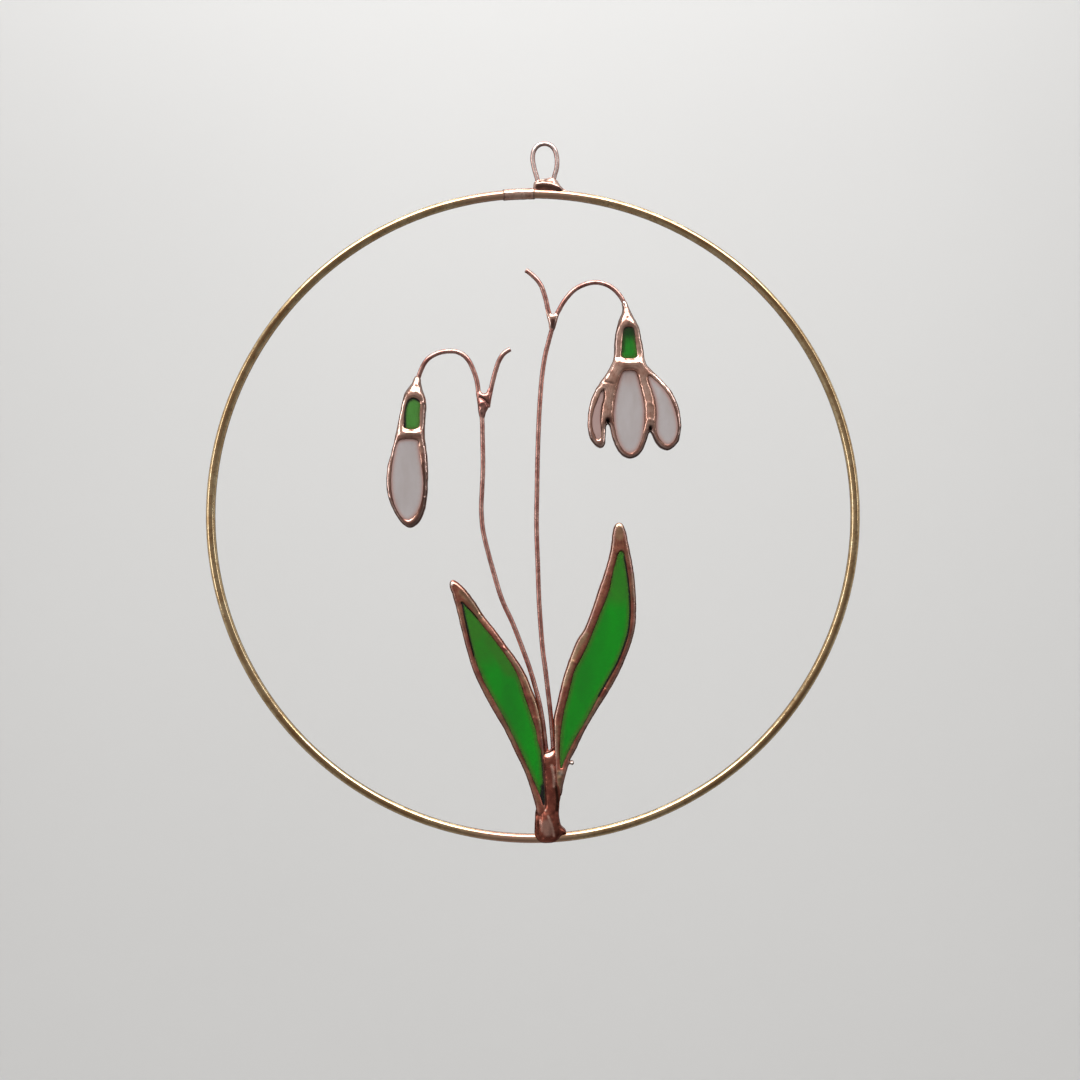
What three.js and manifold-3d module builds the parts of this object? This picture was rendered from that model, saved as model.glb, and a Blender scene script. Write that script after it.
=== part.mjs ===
// A stained glass snowdrop that hangs in a window: green and opal glass in copper foil and solder,
// on copper wire stems, inside a brass hoop with a wire loop to hang it by.
// Millimetres. +Z is up, +X is to the right seen from the front, and the front faces -Y.
// The origin is the top of the space inside the hanging loop, where a hook would carry the piece.
// Every outline and route below is measured from the centre of the hoop, as [x, z].

import * as THREE from "three";
import { mergeVertices } from "three/addons/utils/BufferGeometryUtils.js";
import Module from "manifold-3d";

// Driving dimensions
const hoopDiameter = 150; // outside
const hoopWireDiameter = 2.2;
const stemWireDiameter = 1.1;
const glassThickness = 3;
const rimThickness = 4.2; // foil and solder on both faces of the glass
const foilOverlap = 0.5; // how far the foil reaches over the edge of the glass
const solderRounding = 0.2;
const beadWidth = 2.4; // a raised run of solder along a seam
const beadDepth = 5;
const gap = 0.08; // between one piece and the next
const foilSleeveDiameter = 2.7;
const foilSleeveFrom = 0.3; // degrees from the top of the hoop, towards +X
const foilSleeveTo = -5.3;
const loopSolderThickness = 1.9;
const footThickness = 4.6;
const forkSolderThickness = 1.8;

// How finely curves are divided
const stepsPerPoint = 2;
const hoopSteps = 92;
const hoopSides = 10;
const wireSides = 8;

const hoopRadius = (hoopDiameter - hoopWireDiameter) / 2;

// The wires, as routes of their centre lines
const hangLoopRoute = [
  [1.31, 75.6], [0.94, 77.5], [0.3, 79.8], [-0.07, 82.1], [0.25, 83.8], [1.26, 85],
  [2.66, 85.4],
  [4.06, 85], [5.07, 83.8], [5.53, 81.8], [5.44, 79.8], [4.89, 77.8], [4.52, 75.6],
];
const tallStemRoute = [
  [4.52, -64], [4.66, -56.4], [4.61, -52.5], [4.29, -47.9], [3.88, -43.8], [3.42, -39.9],
  [2.87, -35.3], [2.25, -30.7], [1.77, -25], [1.4, -19.3], [1.08, -10.1], [0.83, -2.1],
  [0.94, 6], [1.12, 15.1], [1.49, 24.3], [2, 31.2], [2.68, 36.2], [3.69, 40.4],
  [4.45, 43.1], [5.34, 45.9], [5.96, 47.2], [7.34, 49.5], [9.43, 51.8], [11.61, 53],
  [14.24, 53.6], [16.77, 53.1], [18.6, 52], [20.05, 50.4], [21.03, 48.6], [21.63, 45.4],
];
const tallSpatheRoute = [
  [-1.67, 56.4], [-0.55, 55.6], [1.01, 54.1], [1.95, 52.7], [2.41, 51.5], [3, 49.5],
  [3.42, 47.5], [3.88, 46],
];
const shortStemRoute = [
  [3.28, -64], [3.28, -58.3], [3.1, -54.4], [2.78, -51.4], [2.36, -47.9], [1.81, -44.5],
  [1.31, -42.2], [0.57, -39.4], [-0.62, -35.3], [-2.27, -30.7], [-4.75, -24.3], [-7.04, -19.3],
  [-9.04, -12.8], [-10.41, -7.8], [-11.45, -3.2], [-11.83, 1.4], [-11.67, 6], [-11.45, 11.2],
  [-11.54, 17.4], [-11.67, 22.5], [-12.04, 25.5], [-12.45, 28.2], [-12.91, 31.2],
  [-13.67, 33.5], [-14.7, 35.6], [-16.03, 37], [-17.64, 37.7], [-19.36, 37.8], [-21.31, 37.5],
  [-23.14, 36.7], [-24.47, 35.6], [-25.48, 33.9], [-26.22, 31.9], [-26.63, 30.3], [-26.86, 28.9],
];
const shortSpatheRoute = [
  [-10.34, 24.9], [-10.07, 26.8], [-9.66, 28.9], [-9.13, 31.2], [-8.51, 33.5], [-7.78, 35.6],
  [-6.72, 37.2], [-5.18, 38.3],
];
const hangLoopSteps = 26;
const stemSteps = 52;
const spatheSteps = 10;

// The leaves: the edge of the rim, and the glass that shows inside it
const leftLeafEdge = [
  [-18.5, -14.7], [-17.3, -15.2], [-15.3, -17.1], [-13.3, -19.7], [-11.2, -23], [-8.5, -26.4],
  [-5.7, -30.3], [-3.4, -33.4], [-1.4, -36.9], [-0.25, -39.9], [0.55, -42.2], [1.5, -46.8],
  [2.1, -51.8], [2.4, -57.1], [2.7, -62.8], [2.8, -65.8], [2.5, -67.2], [1.9, -67.7],
  [1.1, -67.3], [0.6, -66.2], [-0.4, -62.8], [-2, -58.3], [-4.2, -53.7], [-6.4, -49.1],
  [-9.1, -44.5], [-11.6, -39.9], [-13.7, -35.3], [-15.1, -30.7], [-16.3, -26.1], [-17.4, -21.6],
  [-18.4, -18], [-19, -16.2], [-19, -15.2],
];
const leftLeafWindow = [
  [-16.3, -19.7], [-14.3, -21.7], [-10.5, -26.3], [-7, -30.8], [-3.8, -35.9], [-1.6, -42.2],
  [0.6, -49.1], [1.2, -53], [1.6, -57.1], [1.9, -61.7], [1.8, -64.7], [1, -62.8],
  [-1.8, -56], [-6.3, -46.8], [-11.2, -37.8], [-13.1, -33], [-14.3, -28.4], [-16.1, -21.1],
];
const rightLeafEdge = [
  [19.7, -1.5], [20.6, -2], [21.2, -3.4], [22.1, -7.6], [23, -12.4], [23.5, -17.4],
  [23.6, -22.7], [23.2, -26.4], [21.9, -30.7], [20, -35.3], [17.5, -39.9], [14.6, -44.5],
  [11.9, -49.1], [9.7, -53.7], [7.9, -57.8], [6.9, -61.7], [6.5, -62.6], [5.9, -62.8],
  [5.55, -61.9], [5.4, -59.4], [5.35, -56], [5.3, -52.5], [5.1, -49.5], [5.1, -46.3],
  [5.9, -42.2], [6.9, -37.6], [8.3, -33], [10.2, -28.4], [11.7, -26.1], [13.5, -21.6],
  [15, -17], [16.6, -12.4], [17.8, -7.8], [18.4, -3.2], [18.9, -2],
];
const rightLeafWindow = [
  [20, -8.5], [21.1, -10.6], [21.8, -14.7], [22.2, -19.3], [22.2, -23.4], [21.7, -27.1],
  [19.6, -33], [17.1, -37.6], [14.5, -42.2], [12.1, -46.8], [9.4, -51.4], [7.2, -56],
  [6.5, -57.7], [6.2, -55.5], [6.2, -52.5], [6.4, -49.1], [7.2, -44.5], [8.4, -39.9],
  [9.6, -35.3], [10.8, -33], [12.5, -29.6], [13.9, -26.1], [15.7, -21.6], [17.5, -17],
  [18.6, -12.8], [19.5, -10.1],
];
const leafDripCentre = [8.85, -56.3];
const leafDripRadius = 0.5;

// The open flower: the edge of its frame, the glass that shows in it, and its raised seams
const flowerEdge = [
  [21.6, 45.9], [20.4, 45.2], [19.6, 43.8], [19.1, 42.4], [18.7, 40.4], [18.6, 37.2],
  [18.3, 35.6], [17, 32.9], [15.5, 30.7], [14, 28.3], [13, 25.5], [12.6, 22.5],
  [12.6, 20], [13.3, 17.5], [14.4, 16.1], [15.4, 15.6], [16.3, 16], [16.6, 17.4],
  [16.7, 19.7], [16.9, 20.7], [17.2, 21], [17.6, 20.6], [18, 18.8], [18.7, 16.6],
  [19.7, 14.8], [20.9, 13.6], [22.4, 13.2], [23.9, 13.7], [25, 14.9], [25.8, 16.7],
  [26.5, 18.7], [26.9, 19.2], [27.4, 18.5], [28.2, 16.7], [29.5, 15.5], [30.9, 15.1],
  [32.2, 15.7], [33.3, 17.1], [33.8, 19], [33.9, 21.3], [33.6, 23.9], [32.8, 26.3],
  [31.6, 28.6], [29.8, 30.7], [27.8, 32.7], [26.2, 34.4], [25.6, 35.8], [25.3, 38.1],
  [24.8, 40.6], [24.4, 42.7], [23.6, 44.2], [22.7, 45.3],
];
const flowerCalyxWindow = [
  [20.9, 42.7], [22, 43.2], [23, 42.8], [23.4, 40.4], [23.8, 36.9], [23.6, 36.3],
  [20.5, 36.3], [20.3, 36.9], [20.5, 40.1],
];
const centrePetalWindow = [
  [20.7, 33], [23.4, 33], [23.9, 31.7], [24.7, 28.9], [25.3, 26.1], [25.5, 23.2],
  [25.3, 20], [24.7, 17.1], [23.6, 15.1], [22.3, 14.4], [21, 14.8], [19.8, 16.5],
  [18.9, 19.4], [18.5, 22.7], [18.8, 26.4], [19.5, 29.8], [20.2, 32.1],
];
const leftPetalWindow = [
  [16.1, 28.7], [16.1, 27.1], [15.6, 24.8], [15.4, 22], [15.6, 19], [15.4, 17.7],
  [14.9, 17.4], [14.2, 18.5], [13.6, 20.4], [13.6, 22.2], [14, 24.3], [14.9, 26.6],
  [15.6, 28.2],
];
const rightPetalWindow = [
  [26.5, 32], [27.7, 31.2], [29, 30], [30.4, 28.4], [31.6, 26.4], [32.6, 23.6],
  [33.1, 20.9], [32.9, 18.6], [32.1, 17], [30.8, 16.3], [29.5, 17.1], [28.5, 18.6],
  [28.2, 20.4], [28.3, 23.6], [28, 26.3], [27.3, 28.7], [26.6, 30.7],
];
const flowerBeads = [
  [[18.7, 32.1], [18, 29.6], [17.4, 27.1], [17.1, 24.5], [17, 22.1]],
  [[24.9, 32.3], [25.6, 30], [26.4, 27.3], [26.8, 24.5], [26.9, 21]],
  [[19.6, 34.8], [22.1, 34.9], [24.6, 34.8]],
];
const flowerConeAxis = [[20.9, 48.7], [21.8, 43.8]]; // from its tip to the top of the frame
const flowerConeProfile = [[0.8, 0], [0.85, 1.5], [1.1, 2.9], [1.6, 4], [1.85, 5]]; // radius, distance

// The bud
const budEdge = [
  [-27.2, 29.9], [-28.4, 29.2], [-29.4, 28], [-29.8, 26.4], [-30.3, 24.1], [-30.8, 21.6],
  [-31.5, 18.3], [-32.3, 14.7], [-33.2, 11.5], [-33.5, 8.3], [-33.3, 5.3], [-32.5, 2.6],
  [-31.3, 0.2], [-29.9, -1.7], [-28.5, -2.7], [-27.2, -2.4], [-25.9, -1.1], [-24.9, 1.1],
  [-24.3, 4.1], [-24.1, 7.8], [-24.1, 11.9], [-24.5, 15.6], [-24.8, 18.3], [-24.7, 22],
  [-24.5, 24.8], [-24.6, 26.8], [-25.1, 28.2], [-26, 29.5],
];
const budCalyxWindow = [
  [-28.5, 26.3], [-27.4, 26.9], [-26.2, 26.5], [-25.8, 25.7], [-25.9, 23.2], [-26.2, 20.2],
  [-29.3, 20.2], [-29.4, 21.6], [-29.2, 24.3],
];
const budPetalWindow = [
  [-30.3, 17.3], [-26.4, 17.2], [-26.1, 15.6], [-25.8, 13.1], [-25.5, 10.6], [-25.3, 7.8],
  [-25.5, 5], [-26, 2.4], [-26.9, 0.5], [-28.3, -0.8], [-29.6, -0.6], [-30.8, 0.7],
  [-31.9, 2.9], [-32.5, 5.5], [-32.6, 8.3], [-32.4, 11.2], [-31.8, 14.2], [-31.1, 16.4],
];
const budBeads = [[[-30.2, 18.8], [-28.2, 19], [-26.1, 18.8]]];
const budConeAxis = [[-26.5, 31.6], [-27.4, 27.6]];
const budConeProfile = [[0.8, 0], [1.05, 1], [1.5, 2.1], [1.8, 3.2], [1.85, 4]];
const budDripCentre = [-24.6, 27.4];
const budDripRadius = 0.45;

// Solder
const loopSolderOutline = [
  [0.16, 74.2], [0.3, 75.5], [0.5, 76.5], [0.94, 77], [1.86, 77.2], [3.12, 77.4],
  [4.61, 77.6], [5.44, 77], [6.17, 75.9], [6.9, 75.1], [7.66, 74.5], [7.36, 73.9],
  [3.92, 74],
];
const tallForkSolderOutline = [
  [3.37, 48.1], [3.83, 46.9], [4.59, 46.2], [5.37, 46.8], [5.85, 47.8], [6.49, 47.1],
  [5.89, 45.5], [5.53, 44.3], [5.34, 42.9], [4.5, 42.4], [3.62, 42.9], [3.56, 44.3],
  [3.23, 45.6], [2.82, 47.5],
];
const shortForkSolderOutline = [
  [-12.09, 29], [-11.86, 28.1], [-11.12, 27.7], [-10.39, 28.1], [-10.07, 28.9], [-9.29, 28.2],
  [-9.54, 26.6], [-9.95, 25.6], [-10.69, 24.8], [-10.85, 23.9], [-10.95, 22.8], [-11.67, 22.3],
  [-12.41, 22.8], [-12.64, 24.1], [-12.78, 25.9], [-13.19, 28.2],
];
const shortForkDropCentre = [-11.8, 25.9];
const shortForkDropRadius = 0.95;
const baseSolderOutline = [
  [2.55, -53.8], [3.46, -53.6], [4.38, -53.3], [5, -53], [5.14, -54.4], [5.21, -57.1],
  [5.25, -60.1], [5.38, -62.2], [5.85, -63.1], [6.54, -63.2], [6.31, -65.1], [6.06, -67.4],
  [6.33, -69.7], [7.13, -71.3], [8.39, -72.4], [7.82, -73.3], [6.45, -74.3], [4.84, -74.7],
  [3.23, -74.8], [1.74, -74.7], [0.78, -73.9], [0.34, -72.5], [0.44, -70.9], [0.71, -69.3],
  [0.94, -68], [1.9, -68.1], [2.82, -67.6], [3.03, -66.1], [2.87, -62.8], [2.59, -57.8],
];

const brass = new THREE.MeshStandardMaterial({ color: 0xc9a961, roughness: 0.25, metalness: 1 });
const copperWire = new THREE.MeshStandardMaterial({ color: 0x8f5747, roughness: 0.3, metalness: 1 });
const copperSolder = new THREE.MeshStandardMaterial({ color: 0xc08a72, roughness: 0.28, metalness: 1 });
const copperFoil = new THREE.MeshStandardMaterial({ color: 0x8a5646, roughness: 0.4, metalness: 1 });
const greenGlass = new THREE.MeshStandardMaterial({ color: 0x127a1a, roughness: 0.12, metalness: 0 });
const limeGlass = new THREE.MeshStandardMaterial({ color: 0x427a26, roughness: 0.12, metalness: 0 });
const opalGlass = new THREE.MeshStandardMaterial({ color: 0xaf9f9f, roughness: 0.2, metalness: 0 });

const wasm = await Module();
wasm.setup();

// A closed three.js geometry as a solid that can be joined and cut.
function solidOf(geometry) {
  const bare = geometry.clone();
  bare.deleteAttribute("normal");
  bare.deleteAttribute("uv");
  const merged = mergeVertices(bare, 1e-4);
  return new wasm.Manifold(
    new wasm.Mesh({
      numProp: 3,
      vertProperties: merged.attributes.position.array,
      triVerts: new Uint32Array(merged.index.array),
    }),
  );
}

// A solid as a three.js mesh with a name.
function meshOf(name, solid, material) {
  const made = solid.getMesh();
  const geometry = new THREE.BufferGeometry();
  geometry.setAttribute("position", new THREE.BufferAttribute(made.vertProperties, 3));
  geometry.setIndex(new THREE.BufferAttribute(made.triVerts, 1));
  geometry.computeVertexNormals();
  const mesh = new THREE.Mesh(geometry, material);
  mesh.name = name;
  return mesh;
}

// A smooth closed line through a few points, finely divided.
function outline(points) {
  const line = new THREE.CatmullRomCurve3(
    points.map(([x, z]) => new THREE.Vector3(x, z, 0)),
    true,
  );
  return line
    .getPoints(points.length * stepsPerPoint)
    .slice(1)
    .map((point) => new THREE.Vector2(point.x, point.y));
}

// A closed line moved sideways, outwards by a positive distance and inwards by a negative one.
function moved(points, distance) {
  const side = THREE.ShapeUtils.isClockWise(points) ? -distance : distance;
  return points.map((point, i) => {
    const before = points.at(i - 1);
    const after = points[(i + 1) % points.length];
    const along = after.clone().sub(before).normalize();
    return new THREE.Vector2(point.x + along.y * side, point.y - along.x * side);
  });
}

// An upright plate, centred on Y = 0, whose edge is rounded off on both faces.
function plate(edge, thickness, rounding = 0) {
  const geometry = new THREE.ExtrudeGeometry(new THREE.Shape(edge), {
    depth: thickness - 2 * rounding,
    bevelEnabled: rounding > 0,
    bevelThickness: rounding,
    bevelSize: rounding,
    bevelOffset: -rounding,
    bevelSegments: 1,
  });
  geometry.translate(0, 0, rounding - thickness / 2);
  geometry.rotateX(Math.PI / 2);
  return solidOf(geometry);
}

// An even-sided ring of points, wide across the plane of the hoop and deep along Y.
function section(width, depth, sides) {
  const points = [];
  for (let i = 0; i < sides; i += 1) {
    const angle = (i * 2 * Math.PI) / sides;
    points.push(new THREE.Vector2((depth / 2) * Math.cos(angle), (width / 2) * Math.sin(angle)));
  }
  return new THREE.Shape(points);
}

// A bar of that section bent along a smooth line in the plane of the hoop.
function bar(route, width, depth, steps) {
  const line = new THREE.CatmullRomCurve3(route.map(([x, z]) => new THREE.Vector3(x, 0, z)));
  return solidOf(
    new THREE.ExtrudeGeometry(section(width, depth, wireSides), { steps, extrudePath: line }),
  );
}

// A piece of stem wire. A looser one is the space that the wire takes up in solder.
function wire(route, steps, looser = 0) {
  const diameter = stemWireDiameter + 2 * looser;
  return bar(route, diameter, diameter, steps);
}

function ball([x, z], radius) {
  return solidOf(new THREE.SphereGeometry(radius, 12, 8).translate(x, 0, z));
}

// A cone of solder round a wire, from its tip down to the glass.
function cone([tip, foot], profile) {
  const length = profile.at(-1)[1];
  const points = [new THREE.Vector2(0, -length)];
  for (const [radius, distance] of profile.toReversed()) {
    points.push(new THREE.Vector2(radius, -distance));
  }
  points.push(new THREE.Vector2(0, 0));
  const up = new THREE.Vector3(tip[0] - foot[0], 0, tip[1] - foot[1]).normalize();
  const turn = new THREE.Quaternion().setFromUnitVectors(new THREE.Vector3(0, 1, 0), up);
  const geometry = new THREE.LatheGeometry(points, 16);
  geometry.applyQuaternion(turn);
  geometry.translate(tip[0], 0, tip[1]);
  return solidOf(geometry);
}

// The hoop is upright, and a looser one is the space that it takes up in what is fixed to it.
function hoopRing(looser = 0) {
  const geometry = new THREE.TorusGeometry(
    hoopRadius,
    hoopWireDiameter / 2 + looser,
    hoopSides,
    hoopSteps,
  );
  geometry.rotateX(Math.PI / 2);
  return solidOf(geometry);
}

// The foil sleeve follows the hoop from one angle to another, before it is bored for the hoop.
function foilSleeve(looser = 0) {
  const past = THREE.MathUtils.radToDeg(looser / hoopRadius);
  const route = [];
  for (let i = 0; i <= 4; i += 1) {
    const degrees = THREE.MathUtils.lerp(foilSleeveFrom + past, foilSleeveTo, i / 4);
    const angle = THREE.MathUtils.degToRad(degrees);
    route.push([hoopRadius * Math.sin(angle), hoopRadius * Math.cos(angle)]);
  }
  const diameter = foilSleeveDiameter + 2 * looser;
  return bar(route, diameter, diameter, 6);
}

// A piece of glass is the part of it that shows, and a little more under the foil all round.
function pane(window) {
  return plate(moved(outline(window), foilOverlap), glassThickness);
}

// The foil and solder that holds one piece of glass or several, and what is soldered onto it.
function frame(edge, windows, additions = []) {
  let solid = plate(outline(edge), rimThickness, solderRounding);
  for (const addition of additions) {
    solid = solid.add(addition);
  }
  for (const window of windows) {
    const groove = moved(outline(window), foilOverlap + gap);
    solid = solid.subtract(plate(outline(window), 2 * rimThickness));
    solid = solid.subtract(plate(groove, glassThickness + 2 * gap));
  }
  return solid;
}

function bead(route) {
  return bar(route, beadWidth, beadDepth, 6);
}

const tallStemSpace = wire(tallStemRoute, stemSteps, gap);
const shortStemSpace = wire(shortStemRoute, stemSteps, gap);

function loopSolder() {
  return plate(outline(loopSolderOutline), loopSolderThickness, solderRounding)
    .subtract(hoopRing(gap))
    .subtract(foilSleeve(gap))
    .subtract(wire(hangLoopRoute, hangLoopSteps, gap));
}

function tallForkSolder() {
  return plate(outline(tallForkSolderOutline), forkSolderThickness, solderRounding)
    .subtract(tallStemSpace)
    .subtract(wire(tallSpatheRoute, spatheSteps, gap));
}

function shortForkSolder() {
  return plate(outline(shortForkSolderOutline), forkSolderThickness, solderRounding)
    .add(ball(shortForkDropCentre, shortForkDropRadius))
    .subtract(shortStemSpace)
    .subtract(wire(shortSpatheRoute, spatheSteps, gap));
}

function baseSolder() {
  return plate(outline(baseSolderOutline), footThickness, solderRounding)
    .subtract(hoopRing(gap))
    .subtract(tallStemSpace)
    .subtract(shortStemSpace);
}

function flowerFrame() {
  const windows = [flowerCalyxWindow, leftPetalWindow, centrePetalWindow, rightPetalWindow];
  const additions = [cone(flowerConeAxis, flowerConeProfile), ...flowerBeads.map(bead)];
  return frame(flowerEdge, windows, additions).subtract(tallStemSpace);
}

function budFrame() {
  const additions = [
    cone(budConeAxis, budConeProfile),
    ball(budDripCentre, budDripRadius),
    ...budBeads.map(bead),
  ];
  return frame(budEdge, [budCalyxWindow, budPetalWindow], additions).subtract(shortStemSpace);
}

const hoopCentred = new THREE.Group();
hoopCentred.add(
  meshOf("hoop", hoopRing(), brass),
  meshOf("hoop_foil_wrap", foilSleeve().subtract(hoopRing(gap)), copperFoil),
  meshOf("hang_loop", wire(hangLoopRoute, hangLoopSteps), copperWire),
  meshOf("loop_solder", loopSolder(), copperSolder),
  meshOf("tall_stem", wire(tallStemRoute, stemSteps), copperWire),
  meshOf("tall_spathe", wire(tallSpatheRoute, spatheSteps), copperWire),
  meshOf("tall_fork_solder", tallForkSolder(), copperSolder),
  meshOf("short_stem", wire(shortStemRoute, stemSteps), copperWire),
  meshOf("short_spathe", wire(shortSpatheRoute, spatheSteps), copperWire),
  meshOf("short_fork_solder", shortForkSolder(), copperSolder),
  meshOf("flower_calyx_glass", pane(flowerCalyxWindow), greenGlass),
  meshOf("flower_petal_left_glass", pane(leftPetalWindow), opalGlass),
  meshOf("flower_petal_centre_glass", pane(centrePetalWindow), opalGlass),
  meshOf("flower_petal_right_glass", pane(rightPetalWindow), opalGlass),
  meshOf("flower_frame", flowerFrame(), copperSolder),
  meshOf("bud_calyx_glass", pane(budCalyxWindow), limeGlass),
  meshOf("bud_petal_glass", pane(budPetalWindow), opalGlass),
  meshOf("bud_frame", budFrame(), copperSolder),
  meshOf("left_leaf_glass", pane(leftLeafWindow), greenGlass),
  meshOf("left_leaf_rim", frame(leftLeafEdge, [leftLeafWindow]), copperFoil),
  meshOf("right_leaf_glass", pane(rightLeafWindow), greenGlass),
  meshOf(
    "right_leaf_rim",
    frame(rightLeafEdge, [rightLeafWindow], [ball(leafDripCentre, leafDripRadius)]),
    copperFoil,
  ),
  meshOf("base_solder", baseSolder(), copperSolder),
);

// The loop's highest point on its centre line, lowered by half the wire, is the part's origin.
const loopCrown = hangLoopRoute[6];
hoopCentred.position.set(-loopCrown[0], 0, stemWireDiameter / 2 - loopCrown[1]);

const suncatcher = new THREE.Group();
suncatcher.add(hoopCentred);

export default suncatcher;
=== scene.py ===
"""A stained glass snowdrop suncatcher in a brass hoop, hung by its wire loop before a pale sweep.

Outlines and routes are in millimetres from the hoop's centre, as (x, z). placed() turns them into
metres in the frame.
"""

import math

import bpy
import numpy as np
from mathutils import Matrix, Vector, noise
from mathutils.geometry import delaunay_2d_cdt


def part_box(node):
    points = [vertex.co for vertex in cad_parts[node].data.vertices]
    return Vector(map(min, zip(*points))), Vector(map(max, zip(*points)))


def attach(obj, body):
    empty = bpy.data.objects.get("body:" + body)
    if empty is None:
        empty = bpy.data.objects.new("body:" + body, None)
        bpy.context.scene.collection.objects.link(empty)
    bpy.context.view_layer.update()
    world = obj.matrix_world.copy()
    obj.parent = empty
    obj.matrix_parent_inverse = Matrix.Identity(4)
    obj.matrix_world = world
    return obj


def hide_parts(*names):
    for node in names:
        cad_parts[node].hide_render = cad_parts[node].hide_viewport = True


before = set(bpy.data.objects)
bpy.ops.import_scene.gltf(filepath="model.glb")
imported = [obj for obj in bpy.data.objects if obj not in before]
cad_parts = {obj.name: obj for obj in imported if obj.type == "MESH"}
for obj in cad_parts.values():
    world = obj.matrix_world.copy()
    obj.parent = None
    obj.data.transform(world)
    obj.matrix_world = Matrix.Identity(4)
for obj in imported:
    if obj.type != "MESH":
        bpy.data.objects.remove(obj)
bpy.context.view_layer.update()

MM = 0.001
hoop_low, hoop_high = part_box("hoop")
HOOP_CENTRE = np.array((hoop_low + hoop_high) / 2)

HOOP_RADIUS = 73.9  # to the middle of its wire
HOOP_WIRE = 1.1  # half the thickness of the wire
SLEEVE = 1.28  # half the thickness of the hoop with its sleeve of foil
STEM_WIRE = 0.55  # half the thickness of the wire
ROOM = 0.01  # taken off the hoop's wire and the loop's, to make room for their waves
ROUND_END = 0.18  # how far from its ends a wire starts to narrow
GLASS = 1.5  # half the thickness of the glass
LIP = 0.03  # how far a rim stands over the glass where they meet
OVERLAP = 0.08  # how far a pane runs in under its rim
DEEPEST = 2.45  # solder reaches no farther than this from the middle

# How the meshes are made, in millimetres where they are lengths.
SPAN_POINTS = 24  # points in each span of a smooth line, before they are spaced evenly
BATCH = 1500  # points measured at once, so that little memory is used
ROW_RISE = 0.866  # from one row of even triangles to the next, when their sides are 1
RIM_RINGS = (0.03, 0.09, 0.18, 0.32, 0.5)  # extra rows of points along the lines of a rim
PANE_RINGS = (0.1, 0.2, 0.35, 0.6)  # and along the edge of a pane
MERGED = 1e-4  # points closer than this become one
NOWHERE = 99.0  # the distance to a window where there is none
BACK_SEED = 50  # added to a front's seed for its back


def added(name, data):
    """A new object in the scene."""
    made = bpy.data.objects.new(name, data)
    bpy.context.scene.collection.objects.link(made)
    return made


# ---------- outlines

HANG_LOOP = [
    (1.31, 75.6), (0.94, 77.5), (0.3, 79.8), (-0.07, 82.1), (0.25, 83.8), (1.26, 85), (2.66, 85.4),
    (4.06, 85), (5.07, 83.8), (5.53, 81.8), (5.44, 79.8), (4.89, 77.8), (4.52, 75.6),
]
TALL_STEM = [
    (4.52, -64), (4.66, -56.4), (4.61, -52.5), (4.29, -47.9), (3.88, -43.8), (3.42, -39.9),
    (2.87, -35.3), (2.25, -30.7), (1.77, -25), (1.4, -19.3), (1.08, -10.1), (0.83, -2.1), (0.94, 6),
    (1.12, 15.1), (1.49, 24.3), (2, 31.2), (2.68, 36.2), (3.69, 40.4), (4.45, 43.1), (5.34, 45.9),
    (5.96, 47.2), (7.34, 49.5), (9.43, 51.8), (11.61, 53), (14.24, 53.6), (16.77, 53.1), (18.6, 52),
    (20.05, 50.4), (21.03, 48.6), (21.63, 45.4),
]
TALL_SPATHE = [
    (-1.67, 56.4), (-0.55, 55.6), (1.01, 54.1), (1.95, 52.7), (2.41, 51.5), (3, 49.5), (3.42, 47.5),
    (3.88, 46),
]
SHORT_STEM = [
    (3.28, -64), (3.28, -58.3), (3.1, -54.4), (2.78, -51.4), (2.36, -47.9), (1.81, -44.5),
    (1.31, -42.2), (0.57, -39.4), (-0.62, -35.3), (-2.27, -30.7), (-4.75, -24.3), (-7.04, -19.3),
    (-9.04, -12.8), (-10.41, -7.8), (-11.45, -3.2), (-11.83, 1.4), (-11.67, 6), (-11.45, 11.2),
    (-11.54, 17.4), (-11.67, 22.5), (-12.04, 25.5), (-12.45, 28.2), (-12.91, 31.2), (-13.67, 33.5),
    (-14.7, 35.6), (-16.03, 37), (-17.64, 37.7), (-19.36, 37.8), (-21.31, 37.5), (-23.14, 36.7),
    (-24.47, 35.6), (-25.48, 33.9), (-26.22, 31.9), (-26.63, 30.3), (-26.86, 28.9),
]
SHORT_SPATHE = [
    (-10.34, 24.9), (-10.07, 26.8), (-9.66, 28.9), (-9.13, 31.2), (-8.51, 33.5), (-7.78, 35.6),
    (-6.72, 37.2), (-5.18, 38.3),
]
LEFT_LEAF_EDGE = [
    (-18.5, -14.7), (-17.3, -15.2), (-15.3, -17.1), (-13.3, -19.7), (-11.2, -23), (-8.5, -26.4),
    (-5.7, -30.3), (-3.4, -33.4), (-1.4, -36.9), (-0.2, -39.9), (0.75, -42.2), (1.9, -46.8),
    (2.5, -51.8), (2.85, -57.1), (3.1, -62.8), (3.2, -65.8), (2.9, -68.2), (1.9, -69), (1, -68.2),
    (0.55, -66.2), (-0.4, -62.8), (-2, -58.3), (-4.2, -53.7), (-6.4, -49.1), (-9.1, -44.5),
    (-11.6, -39.9), (-13.7, -35.3), (-15.1, -30.7), (-16.3, -26.1), (-17.4, -21.6), (-18.4, -18),
    (-19, -16.2), (-19, -15.2),
]
LEFT_LEAF_WINDOW = [
    (-16.3, -19.7), (-14.3, -21.7), (-10.5, -26.3), (-7, -30.8), (-3.8, -35.9), (-1.6, -42.2),
    (0.7, -49.1), (1.2, -51.8), (1.9, -54), (2.25, -57.1), (2.5, -61), (2.7, -64), (2.55, -66.2),
    (2, -64.8), (1.2, -62.9), (-1.8, -56), (-6.3, -46.8), (-11.2, -37.8), (-13.1, -33),
    (-14.3, -28.4), (-16.1, -21.1),
]
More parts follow.
